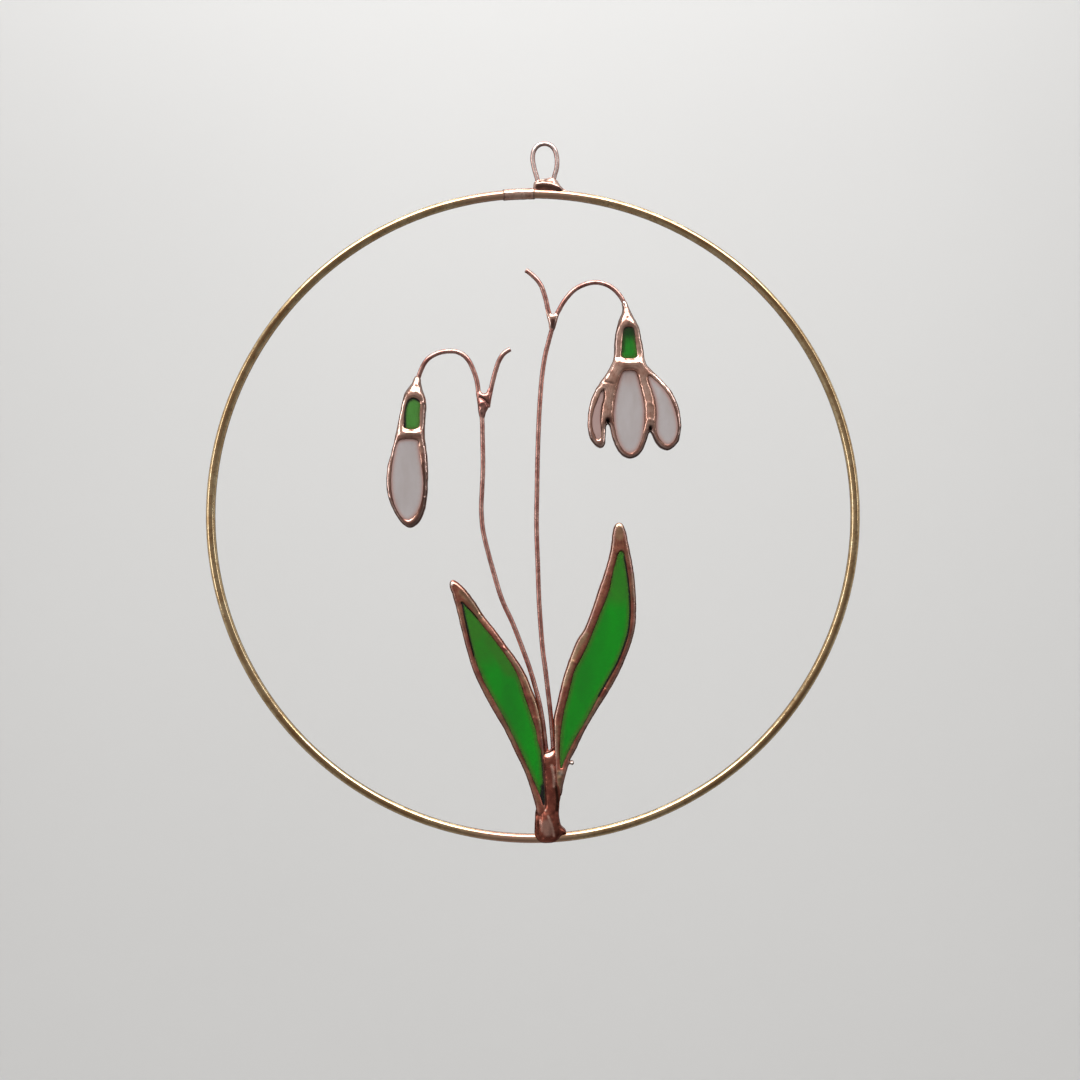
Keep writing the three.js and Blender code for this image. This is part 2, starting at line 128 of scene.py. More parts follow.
RIGHT_LEAF_EDGE = [
    (19.7, -1.5), (20.6, -2), (21.2, -3.4), (22.1, -7.6), (23, -12.4), (23.5, -17.4), (23.6, -22.7),
    (23.2, -26.4), (21.9, -30.7), (20, -35.3), (17.5, -39.9), (14.6, -44.5), (11.9, -49.1),
    (9.7, -53.7), (8.5, -56), (8.65, -56.15), (8.95, -56.1), (9.3, -56.3), (9.35, -56.7),
    (9, -56.95), (8.6, -56.8), (8.35, -56.8), (7.9, -57.8), (6.9, -61.7), (6.6, -63.6), (6, -64.4),
    (5.3, -63), (4.9, -59.4), (4.9, -56), (4.9, -52.5), (4.8, -49.5), (4.8, -46.3), (5.7, -42.2),
    (6.8, -37.6), (8.3, -33), (10.2, -28.4), (11.7, -26.1), (13.5, -21.6), (15, -17), (16.6, -12.4),
    (17.8, -7.8), (18.4, -3.2), (18.9, -2),
]
RIGHT_LEAF_WINDOW = [
    (20.2, -8.1), (20.8, -8.6), (21.15, -10.6), (21.8, -14.7), (22.2, -19.3), (22.2, -23.4),
    (21.7, -27.1), (19.6, -33), (17.1, -37.6), (14.5, -42.2), (12.1, -46.8), (9.4, -51.4),
    (7.2, -56), (6.5, -57.7), (6.2, -55.5), (6.2, -52.5), (6.4, -49.1), (7.2, -44.5), (8.4, -39.9),
    (9.6, -35.3), (10.8, -33), (12.5, -29.6), (13.9, -26.1), (15.7, -21.6), (17.5, -17),
    (18.35, -12.8), (19.1, -10.1), (19.6, -8.6),
]
FLOWER_EDGE = [
    (21.2, 49.3), (20.5, 49.4), (20.4, 48.7), (20.5, 47.6), (20.35, 46.5), (19.9, 45.5),
    (19.45, 44.2), (19.1, 42.6), (18.7, 40.4), (18.6, 37.2), (18.3, 35.6), (17, 32.9), (15.5, 30.7),
    (14, 28.3), (13, 25.5), (12.6, 22.5), (12.6, 20), (13.3, 17.5), (14.4, 16.1), (15.4, 15.6),
    (16.3, 16), (16.6, 17.4), (16.7, 19.7), (16.9, 20.7), (17.2, 21), (17.6, 20.6), (18, 18.8),
    (18.7, 16.6), (19.7, 14.8), (20.9, 13.6), (22.4, 13.2), (23.9, 13.7), (25, 14.9), (25.8, 16.7),
    (26.5, 18.7), (26.9, 19.2), (27.4, 18.5), (28.2, 16.7), (29.5, 15.5), (30.9, 15.1),
    (32.2, 15.7), (33.3, 17.1), (33.8, 19), (33.9, 21.3), (33.6, 23.9), (32.8, 26.3), (31.6, 28.6),
    (29.8, 30.7), (27.8, 32.7), (26.2, 34.4), (25.6, 35.8), (25.3, 38.1), (24.8, 40.6),
    (24.4, 42.7), (23.85, 44.1), (23.1, 45.6), (22.45, 46.9), (21.9, 48.1), (21.6, 48.9),
]
FLOWER_CALYX = [
    (20.9, 42.7), (22, 43.2), (23, 42.8), (23.4, 40.4), (23.8, 36.9), (23.6, 36.3), (20.5, 36.3),
    (20.3, 36.9), (20.5, 40.1),
]
CENTRE_PETAL = [
    (20.7, 33), (23.4, 33), (23.9, 31.7), (24.7, 28.9), (25.3, 26.1), (25.5, 23.2), (25.3, 20),
    (24.7, 17.1), (23.6, 15.1), (22.3, 14.4), (21, 14.8), (19.8, 16.5), (18.9, 19.4), (18.5, 22.7),
    (18.8, 26.4), (19.5, 29.8), (20.2, 32.1),
]
LEFT_PETAL = [
    (16.1, 28.7), (16.1, 27.1), (15.6, 24.8), (15.4, 22), (15.6, 19), (15.4, 17.7), (14.9, 17.4),
    (14.2, 18.5), (13.6, 20.4), (13.6, 22.2), (14, 24.3), (14.9, 26.6), (15.6, 28.2),
]
RIGHT_PETAL = [
    (26.5, 32), (27.7, 31.2), (29, 30), (30.4, 28.4), (31.6, 26.4), (32.6, 23.6), (33.1, 20.9),
    (32.9, 18.6), (32.1, 17), (30.8, 16.3), (29.5, 17.1), (28.5, 18.6), (28.2, 20.4), (28.3, 23.6),
    (28, 26.3), (27.3, 28.7), (26.6, 30.7),
]
BUD_EDGE = [
    (-26.9, 32.1), (-27.3, 31.6), (-27.75, 30.6), (-28.6, 29.3), (-29.4, 28), (-29.8, 26.4),
    (-30.3, 24.1), (-30.8, 21.6), (-31.5, 18.3), (-32.3, 14.7), (-33.2, 11.5), (-33.5, 8.3),
    (-33.3, 5.3), (-32.5, 2.6), (-31.3, 0.2), (-29.9, -1.7), (-28.5, -2.7), (-27.2, -2.4),
    (-25.9, -1.1), (-24.9, 1.1), (-24.3, 4.1), (-24.1, 7.8), (-24.1, 11.9), (-24.5, 15.6),
    (-24.8, 18.3), (-24.7, 22), (-24.5, 24.8), (-24.6, 26.8), (-25.2, 28.6), (-25.65, 30.3),
    (-25.75, 31.5), (-26.2, 32.1),
]
BUD_CALYX = [
    (-28.5, 26.3), (-27.4, 26.9), (-26.2, 26.5), (-25.8, 25.7), (-25.9, 23.2), (-26.2, 20.2),
    (-29.3, 20.2), (-29.4, 21.6), (-29.2, 24.3),
]
BUD_PETAL = [
    (-30.3, 17.3), (-26.4, 17.2), (-26.1, 15.6), (-25.75, 13.1), (-25.35, 10.6), (-25.05, 7.8),
    (-25.2, 5), (-25.75, 2.4), (-26.8, 0.4), (-28.3, -0.9), (-29.6, -0.6), (-30.7, 0.7),
    (-31.7, 2.9), (-32.25, 5.5), (-32.4, 8.3), (-32.2, 11.2), (-31.7, 14.2), (-31.1, 16.4),
]
LOOP_SOLDER = [
    (0.16, 74.2), (0.09, 75.5), (0.3, 76.5), (0.94, 77), (1.86, 77.2), (3.12, 77.4), (4.61, 77.6),
    (5.44, 77), (6.17, 75.9), (6.9, 75.1), (7.66, 74.5), (7.36, 73.9), (3.92, 74),
]
TALL_FORK = [
    (3.15, 48.9), (3.55, 48), (3.95, 46.9), (4.3, 46.35), (4.6, 46.25), (4.95, 46.4), (5.4, 47.05),
    (5.9, 47.9), (6.55, 48.2), (6.35, 47.2), (5.95, 46.1), (5.7, 45.2), (5.45, 44.2), (5, 42.8),
    (4.3, 42), (3.75, 43), (3.6, 44.2), (3.3, 45.4), (3, 46.8), (2.85, 48),
]
SHORT_FORK = [
    (-12.77, 30.3), (-12.15, 29.2), (-11.8, 28.4), (-11.25, 28.1), (-10.7, 28.3), (-10.35, 29),
    (-9.4, 30.1), (-9.2, 29), (-9.4, 27.8), (-9.6, 26.6), (-9.9, 25.4), (-10.35, 24.5),
    (-10.75, 23.8), (-11.05, 22.6), (-11.65, 21.3), (-12.2, 22.6), (-12.55, 24), (-12.7, 25.5),
    (-12.9, 27), (-13.05, 28.2), (-13.1, 29.2),
]
BASE_SOLDER = [
    (2.1, -54), (2.8, -54), (3.7, -53.8), (4.5, -53.2), (5.1, -52.8), (5.5, -54.4), (5.6, -57.1),
    (5.9, -60.1), (6.45, -61.8), (6.4, -63.6), (6.15, -65.4), (5.98, -67.4), (6.1, -69.3),
    (6.5, -71), (7.6, -72.3), (6.6, -72.9), (5.9, -73.8), (4.8, -74.6), (3.23, -74.8),
    (1.8, -74.6), (0.9, -73.8), (0.4, -72.5), (0.38, -70.9), (0.5, -69.3), (0.6, -67.6),
    (1.2, -66.9), (2, -67.3), (2.6, -66.8), (2.75, -65), (2.6, -62), (2.4, -58.5), (2.2, -56),
]

# ---------- plane geometry


def smooth_line(points, step, closed=True):
    """A smooth line through points, as even points about step apart: a centripetal spline. Each
    of its spans blends two curves (b), each of which blends two straight lines (a)."""
    p = np.array(points, float)
    if closed:
        p = np.vstack([p[-1], p, p[:2]])
    else:
        p = np.vstack([2 * p[0] - p[1], p, 2 * p[-1] - p[-2]])
    fine = []
    for p0, p1, p2, p3 in zip(p, p[1:], p[2:], p[3:]):
        t1 = math.dist(p0, p1) ** 0.5
        t2 = t1 + math.dist(p1, p2) ** 0.5
        t3 = t2 + math.dist(p2, p3) ** 0.5
        t = np.linspace(t1, t2, SPAN_POINTS, endpoint=False)[:, None]
        a1 = (t1 - t) / t1 * p0 + t / t1 * p1
        a2 = (t2 - t) / (t2 - t1) * p1 + (t - t1) / (t2 - t1) * p2
        a3 = (t3 - t) / (t3 - t2) * p2 + (t - t2) / (t3 - t2) * p3
        b1 = (t2 - t) / t2 * a1 + t / t2 * a2
        b2 = (t3 - t) / (t3 - t1) * a2 + (t - t1) / (t3 - t1) * a3
        fine.append((t2 - t) / (t2 - t1) * b1 + (t - t1) / (t2 - t1) * b2)
    fine.append(p[1:2] if closed else p[-2:-1])
    fine = np.vstack(fine)
    along = np.concatenate([[0], np.cumsum(np.hypot(*np.diff(fine, axis=0).T))])
    count = max(3, round(along[-1] / step))
    at = np.linspace(0, along[-1], count + 1)
    if closed:
        at = at[:-1]
    return np.column_stack([np.interp(at, along, fine[:, i]) for i in (0, 1)])


def distance(points, line, closed=True):
    """How far each point lies from a line."""
    a = line if closed else line[:-1]
    ab = (np.roll(line, -1, 0) if closed else line[1:]) - a
    squared = (ab**2).sum(1)
    found = []
    for part in np.array_split(points, len(points) // BATCH + 1):
        ap = part[:, None] - a
        t = np.clip((ap * ab).sum(2) / squared, 0, 1)
        found.append(np.sqrt(((ap - t[..., None] * ab) ** 2).sum(2).min(1)))
    return np.concatenate(found)


def inside(points, line):
    """Which points lie inside a closed line."""
    a, b = line, np.roll(line, -1, 0)
    found = []
    for part in np.array_split(points, len(points) // BATCH + 1):
        x, y = part[:, :1], part[:, 1:]
        spans = (a[:, 1] > y) != (b[:, 1] > y)
        cut = (b[:, 0] - a[:, 0]) * (y - a[:, 1]) / (b[:, 1] - a[:, 1] + 1e-12) + a[:, 0]
        found.append((spans & (x < cut)).sum(1) % 2 == 1)
    return np.concatenate(found)


def between(points, edge, windows):
    """Which points lie inside an edge and outside its windows."""
    found = inside(points, edge)
    for window in windows:
        found &= ~inside(points, window)
    return found


def sideways(line, closed=True):
    """A unit vector to the right of the way a line runs, at each of its points."""
    if closed:
        along = np.roll(line, -1, 0) - np.roll(line, 1, 0)
    else:
        along = np.gradient(line, axis=0)
    along /= np.hypot(*along.T)[:, None]
    return np.column_stack([along[:, 1], -along[:, 0]])


def turns_left(line):
    """Whether a closed line has its inside on its left."""
    x, y = line.T
    return (x * np.roll(y, -1) - np.roll(x, -1) * y).sum() > 0


def outward(line):
    """Unit vectors that point out of a closed line."""
    return sideways(line) * (1 if turns_left(line) else -1)


def ease(x, low, high):
    """From 0 below low to 1 above high, smoothly."""
    t = np.clip((x - low) / (high - low), 0, 1)
    return t * t * (3 - 2 * t)


def lumps(points, size, seed):
    """Smooth noise from about -1 to 1 whose bumps are about size across."""
    shift = Vector((seed * 7.31, seed * 3.17 + 11.9, seed * 5.53 - 4.1))  # to other noise each time
    return np.array([noise.noise(Vector(p) / size + shift) for p in points])


def xyz(points, y):
    """Points of the plane at a depth of y, which may be one number or one for each point."""
    return np.column_stack([points[:, 0], np.broadcast_to(y, len(points)), points[:, 1]])


def roughened(points, amount, size, seed):
    """A closed line with small irregular waves."""
    wave = lumps(xyz(points, 0.0), size, seed) * amount
    return points + outward(points) * wave[:, None]


# ---------- meshes


def placed(points):
    """Millimetres from the hoop's centre, as metres in the frame."""
    return points * MM + HOOP_CENTRE


def make(name, points, faces, material, replaces, marks):
    """A smooth piece of the object that stands for a CAD node, with marks as values on its points.
    The marks are dark (painted shade), one for painted highlights and reflections, tint, and dull
    (on glass, near its rim a painted reflection of the copper), from 0 to 1, and across, in millimetres."""
    mesh = bpy.data.meshes.new(name)
    mesh.from_pydata(placed(points).tolist(), [], faces)
    mesh.validate()
    mesh.update()
    mesh.shade_smooth()
    for key, values in marks.items():
        attribute = mesh.attributes.new(key, "FLOAT", "POINT")
        attribute.data.foreach_set("value", np.asarray(values, np.float32))
    mesh.materials.append(material)
    piece = added(name, mesh)
    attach(piece, "root")
    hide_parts(replaces)
    return piece


def filled(edge, windows, rings, spacing):
    """Triangles that fill the space between an edge and its windows, finer near the lines: rings
    are the distances of extra rows of points from them, and spacing is the grid's beyond.
    Returns (points, triangles, the lines as lists of point numbers, how far each point is from the
    edge, how far it is from the nearest window)."""
    lines = [edge, *windows]
    least_share = 0.85  # of its distance from its own line, which a ring's point keeps from others
    grid_start = rings[-1] + spacing * 0.45
    extra = []
    for i, line in enumerate(lines):
        out = outward(line) * (-1 if i == 0 else 1)
        for ring in rings:
            extra.append((line + out * ring, ring * least_share))
    low, high = edge.min(0), edge.max(0)
    grid_x, grid_y = np.meshgrid(
        np.arange(low[0], high[0], spacing), np.arange(low[1], high[1], spacing * ROW_RISE)
    )
    grid_x[::2] += spacing / 2
    grid = np.column_stack([grid_x.ravel(), grid_y.ravel()])
    extra.append((grid, grid_start))
    kept = [*lines]
    for points, least in extra:
        near = np.minimum.reduce([distance(points, line) for line in lines])
        kept.append(points[(near >= least) & between(points, edge, windows)])
    starts = np.cumsum([0] + [len(k) for k in kept])
    constraints = []
    for line, start in zip(lines, starts):
        n = len(line)
        constraints += [(start + i, start + (i + 1) % n) for i in range(n)]
    points = np.vstack(kept)
    verts, _, faces, origin, _, _ = delaunay_2d_cdt(
        [Vector(p) for p in points], constraints, [], 0, MERGED, True
    )
    new_of = {old: new for new, olds in enumerate(origin) for old in olds}
    points = np.array([tuple(v) for v in verts])
    faces = np.array(faces)
    faces = faces[between(points[faces].mean(1), edge, windows)]
    loops = [[new_of[start + i] for i in range(len(line))] for line, start in zip(lines, starts)]
    to_edge = distance(points, edge)
    if windows:
        to_window = np.minimum.reduce([distance(points, w) for w in windows])
    else:
        to_window = np.full(len(points), NOWHERE)
    return points, faces, loops, to_edge, to_window


def two_sided(points, faces, loops, front, back):
    """The vertices and faces of a solid with that outline, front towards -Y and back towards +Y."""
    n = len(points)
    solid = np.vstack([xyz(points, -front), xyz(points, back)])
    a, b, c = (points[faces[:, i]] for i in range(3))
    turned = np.cross(b - a, c - a) < 0
    forward = np.where(turned[:, None], faces[:, ::-1], faces)
    made = [*forward.tolist(), *(forward[:, ::-1] + n).tolist()]
    for i, loop in enumerate(loops):
        ahead = loop if turns_left(points[loop]) == (i == 0) else loop[::-1]
        for p, q in zip(ahead, ahead[1:] + ahead[:1]):
            made.append((q, p, p + n, q + n))
    return solid, made


def dome(reach, radius):
    """From 0 at an edge to 1 at a distance of radius, as a quarter circle rises."""
    t = np.clip(reach / radius, 0, 1)
    return np.sqrt(1 - (1 - t) ** 2)


def swelling(points, faces, held):
    """How far a skin that is held along its edges bulges: in a strip, a half circle.

    It solves an evenly loaded membrane on the triangles by conjugate gradients. The height of the
    bulge is the root of twice what comes out."""
    most_rounds, small_enough = 600, 1e-12
    corners = [points[faces[:, i]] for i in range(3)]
    (ux, uy), (vx, vy) = (corners[1] - corners[0]).T, (corners[2] - corners[0]).T
    doubled = np.abs(ux * vy - uy * vx) + 1e-9
    pairs, pulls = [], []
    for i in range(3):
        p, q, r = (corners[(i + k) % 3] for k in range(3))
        pairs.append(faces[:, [i, (i + 1) % 3]])
        pulls.append(((p - r) * (q - r)).sum(1) / doubled / 2)
    here, there = np.vstack([*pairs, *(pair[:, ::-1] for pair in pairs)]).T
    pull = np.tile(np.concatenate(pulls), 2)
    n = len(points)
    stiffness = np.maximum(np.bincount(here, pull, n), 1e-6)
    free = np.ones(n)
    free[held] = 0
    bulge = np.zeros(n)
    left = free * np.bincount(faces.ravel(), np.repeat(doubled / 6, 3), n)
    ahead = left / stiffness
    power = left @ ahead
    for _ in range(most_rounds):
        resisted = free * (stiffness * ahead - np.bincount(here, pull * ahead[there], n))
        reach = power / (ahead @ resisted)
        bulge += reach * ahead
        left = left - reach * resisted
        eased = left / stiffness
        before, power = power, left @ eased
        if power < small_enough:
            break
        ahead = eased + power / before * ahead
    return np.sqrt(2 * np.maximum(bulge, 0))


def ridge_heights(points, ridges):
    """What raised runs of solder add. Each ridge is (its line, half its width, its height)."""
    height = np.zeros(len(points))
    for line, width, tall in ridges:
        height += tall * np.exp(-((away(points, line) / width) ** 2))
    return height


def away(points, line):
    """How far each point lies from a smooth line or from a single point."""
    if len(line) == 1:
        return np.hypot(*(points - np.array(line[0])).T)
    return distance(points, smooth_line(line, 0.2, closed=False), closed=False)


def shading(points, places):
    """How strongly each point is marked. Each place is (its line, half its width, how strong)."""
    shade = np.zeros(len(points))
    for line, width, strength in places:
        shade = np.maximum(shade, strength * (1 - ease(away(points, line), width * 0.4, width)))
    return shade


def soldered(name, edge, windows, form, material, replaces, seed, ridges=(), dark=(), painted_reflection=(),
             tinted=(), edge_shade=0.7, reflection_amount=0.7, lump=(0.08, 1.6), crease=(0.025, 0.45), ragged=0.05,
             step=0.2, spacing=0.34):
    """A solid of solder whose faces swell between its edge and its windows.

    form is (half its depth at the edge, how steeply it swells, the most that it swells, the heights
    between which it turns into a round cone). Lumps and creases are (height, size), and ridges are
    as in ridge_heights(). It carries a pale painted highlight a little inside its edge, and painted
    shade along the edge and where it meets the glass. The dark places (painted shade), the places of
    painted highlights and the tinted places are as in shading()."""
    wave, window_wave, window_share = 1.1, 0.9, 0.7  # the waves' sizes, and a window's smaller share
    cone_depth = 1.2  # for each unit of its bulge
    lumpy_from = 0.5  # this far from the lines the lumps have their whole height
    thinnest, crevice_shade = 0.01, 0.65
    edge = roughened(smooth_line(edge, step), ragged, wave, seed)
    windows = [
        roughened(smooth_line(w, step), ragged * window_share, window_wave, seed + 3 + i)
        for i, w in enumerate(windows)
    ]
    points, faces, loops, to_edge, to_window = filled(edge, windows, RIM_RINGS, spacing)
    side, steepness, most, cone = form
    bulge = swelling(points, faces, np.concatenate(loops))
    low = side + (GLASS + LIP - side) * to_edge / (to_edge + to_window)
    smooth = low + most * np.tanh(steepness * bulge**2 / most)
    if cone:
        rounded = ease(points[:, 1], *cone)
        smooth = (1 - rounded) * smooth + rounded * cone_depth * bulge
    near = np.minimum(to_edge, to_window)
    sides = []
    for face, change in ((-1, seed), (1, seed + BACK_SEED)):
        rough = lump[0] * lumps(xyz(points, face), lump[1], change)
        rough += crease[0] * lumps(xyz(points, face), crease[1], change + 7)
        rough += ridge_heights(points, ridges)
        sides.append(np.clip(smooth + rough * ease(near, 0.0, lumpy_from), thinnest, DEEPEST))
    solid, made = two_sided(points, faces, loops, *sides)
    # Painted shade: a dark line along the outer edge and another where the solder meets the glass. Painted
    # highlight: a pale band just inside the edge.
    outline = edge_shade * ease(to_edge, 0.0, 0.03) * (1 - ease(to_edge, 0.14, 0.3))
    edge_highlight = reflection_amount * ease(to_edge, 0.18, 0.3) * (1 - ease(to_edge, 0.36, 0.65))
    crevice = crevice_shade * (1 - ease(to_window, 0.05, 0.24))
    marks = {
        "dark": np.maximum.reduce([outline, crevice, shading(points, dark)]),
        "painted_reflection": np.maximum(edge_highlight, shading(points, painted_reflection)),
        "tint": shading(points, tinted),
        "across": near,
    }
    marks = {key: np.tile(values, 2) for key, values in marks.items()}
    return make(name, solid, made, material, replaces, marks)


def pane(name, window, material, replaces, seed, dark=(), dull=(), reach=0.9):
    """A pane of glass that fills a window. Its faces are almost flat. Within reach of its rim it takes
    its dull colour, a painted reflection of the copper rim and painted shade under it, and it takes
    that colour in the dull places too. Its dark places take a painted shadow."""
    step, spacing = 0.25, 0.5
    wave_depth, wave_size = 0.025, 4.0
    rim_reflection = 0.8
    edge = smooth_line(window, step)
    edge = edge + outward(edge) * OVERLAP
    points, faces, loops, to_edge, _ = filled(edge, [], PANE_RINGS, spacing)
    wave = wave_depth * lumps(xyz(points, 0.0), wave_size, seed)
    solid, made = two_sided(points, faces, loops, GLASS + wave, GLASS - wave)
    duller = np.maximum(rim_reflection * (1 - ease(to_edge, 0.1, reach)), shading(points, dull))
    marks = {"dark": np.tile(shading(points, dark), 2), "dull": np.tile(duller, 2)}
    return make(name, solid, made, material, replaces, marks)


def tube(name, route, radius, material, replaces, seed, sides=20, closed=False,
         wobble=0.012, round_ends=ROUND_END, ragged=0.0, tint=None, edge_shade=0.45, reflection_amount=0.0):
    """A wire along a line of points.

    wobble is the height of its waves, round_ends is how far from each end it starts to narrow, and
    ragged is how uneven its ends are. tint gives the marks of that name for the route's points. It
    is darkened along its sides by painted shade, and carries a painted reflection on its faces, as
    strong as the amount given for it, one number or one for each point."""
    long_wave, short_wave, rag = 2.2, 0.8, 0.7  # the sizes of the waves and of the ragged edge's
    n = len(route)
    across = sideways(route, closed)
    angles = np.arange(sides) * 2 * math.pi / sides
    along = np.concatenate([[0], np.cumsum(np.hypot(*np.diff(route, axis=0).T))])
    grown = np.full(n, radius)
    if not closed:
        to_end = np.minimum(along, along[-1] - along)
        grown = radius - round_ends * (1 - dome(to_end, round_ends))
    rings = np.zeros((n, sides, 3))
    rings[..., 0] = route[:, :1] + across[:, :1] * grown[:, None] * np.cos(angles)
    rings[..., 2] = route[:, 1:] + across[:, 1:] * grown[:, None] * np.cos(angles)
    rings[..., 1] = grown[:, None] * np.sin(angles)
    out = (rings - xyz(route, 0.0)[:, None]) / grown[:, None, None]
    points = rings.reshape(-1, 3)
    bump = lumps(points, long_wave, seed) + 0.5 * lumps(points, short_wave, seed + 1)
    points = points + out.reshape(-1, 3) * (wobble * bump)[:, None]
    if ragged:
        shift = np.repeat(ragged * (1 - ease(to_end, 0, 4 * ragged)), sides)
        shift *= lumps(points * (0.1, 1, 1), rag, seed + 2)  # much the same all along x
        ahead = xyz(np.column_stack([-across[:, 1], across[:, 0]]), 0)
        points += np.repeat(ahead, sides, 0) * shift[:, None]
    faces = []
    for i in range(n if closed else n - 1):
        j = (i + 1) % n
        for k in range(sides):
            m = (k + 1) % sides
            faces.append((i * sides + k, j * sides + k, j * sides + m, i * sides + m))
    if not closed:
        faces.append(tuple(range(sides)))
        faces.append(tuple(reversed(range((n - 1) * sides, n * sides))))
    flank = np.abs(np.cos(angles))  # 1 at the wire's two sides, and 0 on its front and back
    # Painted shade darkens the wire's two sides, and a painted reflection lies along its faces where one
    # is asked for.
    marks = {
        "dark": np.tile(edge_shade * ease(flank, 0.65, 1.0), n),
        "painted_reflection": np.outer(np.broadcast_to(reflection_amount, n), 1 - ease(flank, 0.2, 0.6)).ravel(),
    }
    if tint is not None:
        marks["tint"] = np.repeat(tint, sides)
    return make(name, points, faces, material, replaces, marks)


def wire_line(points):
    """A wire's route, finer at both ends so that they can be rounded."""
    step = 0.3
    line = smooth_line(points, step, closed=False)
    ends = np.array([0.0, 0.02, 0.06, 0.11, ROUND_END])
    first = (line[1] - line[0]) / math.dist(line[1], line[0])
    last = (line[-1] - line[-2]) / math.dist(line[-1], line[-2])
    head = line[0] + ends[:, None] * first
    tail = line[-1] - ends[::-1, None] * last
    return np.vstack([head, line[1:-1], tail])


# ---------- materials

METAL_SHADE = (0.012, 0.008, 0.006)  # painted shade on metal, near black
SHADOW = (0.004, 0.003, 0.003)  # in glass, along a rim that it is set under
OLIVE = (0.07, 0.13, 0.015)  # green glass darkened by a painted reflection of the copper rim beside it and painted shade


class Nodes:
    """Shorthand for building the nodes of a material or of the world."""

    def __init__(self, owner):
        self.owner = owner
        owner.use_nodes = True
        self.tree = owner.node_tree
        self.shader = next(n for n in self.tree.nodes if n.type in ("BSDF_PRINCIPLED", "BACKGROUND"))
        self.place = self.add("TexCoord").outputs

    def link(self, source, target):
        """Give an input a value, or what another node's output says."""
        if isinstance(source, bpy.types.NodeSocket):
            self.tree.links.new(source, target)
        else:
            target.default_value = (*source, 1) if target.type == "RGBA" else source

    def add(self, kind, **inputs):
        """A new node. In the names of its inputs _ stands for a space."""
        node = self.tree.nodes.new("ShaderNode" + kind)
        for key, value in inputs.items():
            self.link(value, node.inputs[key.replace("_", " ")])
        return node

    def noise(self, size, detail, stretch=(1, 1, 1), roughness=0.5):
        """Noise with features of about size millimetres."""
        mapping = self.add("Mapping", Vector=self.place["Object"], Scale=stretch)
        node = self.add(
            "TexNoise", Vector=mapping.outputs["Vector"], Scale=1 / (size * MM), Detail=detail,
            Roughness=roughness,
        )
        return node.outputs["Fac"]

    def streaks(self, width, length):
        """Noise drawn out along the rims: its streaks are width by length in millimetres."""
        split = self.add("SeparateXYZ", Vector=self.place["Object"]).outputs
        along = [self.spread(split[axis], 0.0, length * MM, clamp=False) for axis in "XZ"]
        across = self.spread(self.mark("across"), 0.0, width, clamp=False)
        joined = self.add("CombineXYZ", X=along[0], Y=along[1], Z=across)
        node = self.add("TexNoise", Vector=joined.outputs[0], Scale=1.0, Detail=2.0)
        return node.outputs["Fac"]

    def spread(self, value, low, high, to_low=0.0, to_high=1.0, clamp=True, kind="LINEAR"):
        """A value between low and high, moved to between to_low and to_high."""
        node = self.add(
            "MapRange", Value=value, From_Min=low, From_Max=high, To_Min=to_low, To_Max=to_high
        )
        node.clamp = clamp
        node.interpolation_type = kind
        return node.outputs["Result"]

    def mark(self, name):
        """A mark on the mesh's points."""
        node = self.add("Attribute")
        node.attribute_name = name
        return node.outputs["Fac"]

    def mix(self, share, a, b, kind="RGBA"):
        """From a, where the share is 0, to b, where it is 1. They are colours, or numbers (FLOAT)."""
        first, out = {"RGBA": (6, 2), "FLOAT": (2, 0)}[kind]
        node = self.add("Mix")
        node.data_type = kind
        for source, i in ((share, 0), (a, first), (b, first + 1)):
            self.link(source, node.inputs[i])
        return node.outputs[out]

    def bump(self, height, depth):
        """Relief that is depth millimetres deep."""
        node = self.add("Bump", Strength=1.0, Distance=depth * MM, Height=height)
        self.link(node.outputs["Normal"], self.shader.inputs["Normal"])

    def set(self, **values):
        """Give the shader these inputs."""
        for key, value in values.items():
            self.link(value, self.shader.inputs[key.replace("_", " ")])
        return self.owner


def metal(name, light, deep, roughness, grain, tint=None, streaks=None, spots=None, painted_reflection=None):
    """Metal with a patina that is light in places and deep in others.

    grain is its relief, as (depth, size). streaks is (a colour, how much of it) that runs along the
    rims, and spots is the same in specks. tint is the colour where the tint mark is, in places a
    painted shade. The colour for painted highlights and reflections lies where their mark is, and
    where the dark mark is it takes a near-black painted shade."""
    n = Nodes(bpy.data.materials.new(name))
    patches = n.spread(n.noise(size=2.4, detail=4.0), 0.38, 0.64)
    specks = n.spread(n.noise(size=1.1, detail=1.0), 0.35, 0.7)
    colour = n.mix(patches, light, deep)
    relief = n.noise(size=grain[1], detail=2.0, roughness=0.35)
    if streaks:
        run = n.streaks(width=0.35, length=5.0)
        colour = n.mix(n.spread(run, 0.45, 0.65, 0.0, streaks[1]), colour, streaks[0])
        relief = n.mix(0.6, relief, run)
    if spots:
        spotted = n.spread(n.noise(size=0.7, detail=3.0), 0.55, 0.68, 0.0, spots[1])
        colour = n.mix(spotted, colour, spots[0])
    if tint:
        colour = n.mix(n.mark("tint"), colour, tint)
    # Pale painted highlights, or on the hoop a dark painted reflection, where that mark is; then
    # near-black painted shade where the dark mark is.
    if painted_reflection:
        colour = n.mix(n.mark("painted_reflection"), colour, painted_reflection)
    colour = n.mix(n.mark("dark"), colour, METAL_SHADE)
    rough = n.spread(specks, 0.0, 1.0, *roughness)
    n.bump(relief, grain[0])
    return n.set(Base_Color=colour, Metallic=1.0, Roughness=rough)


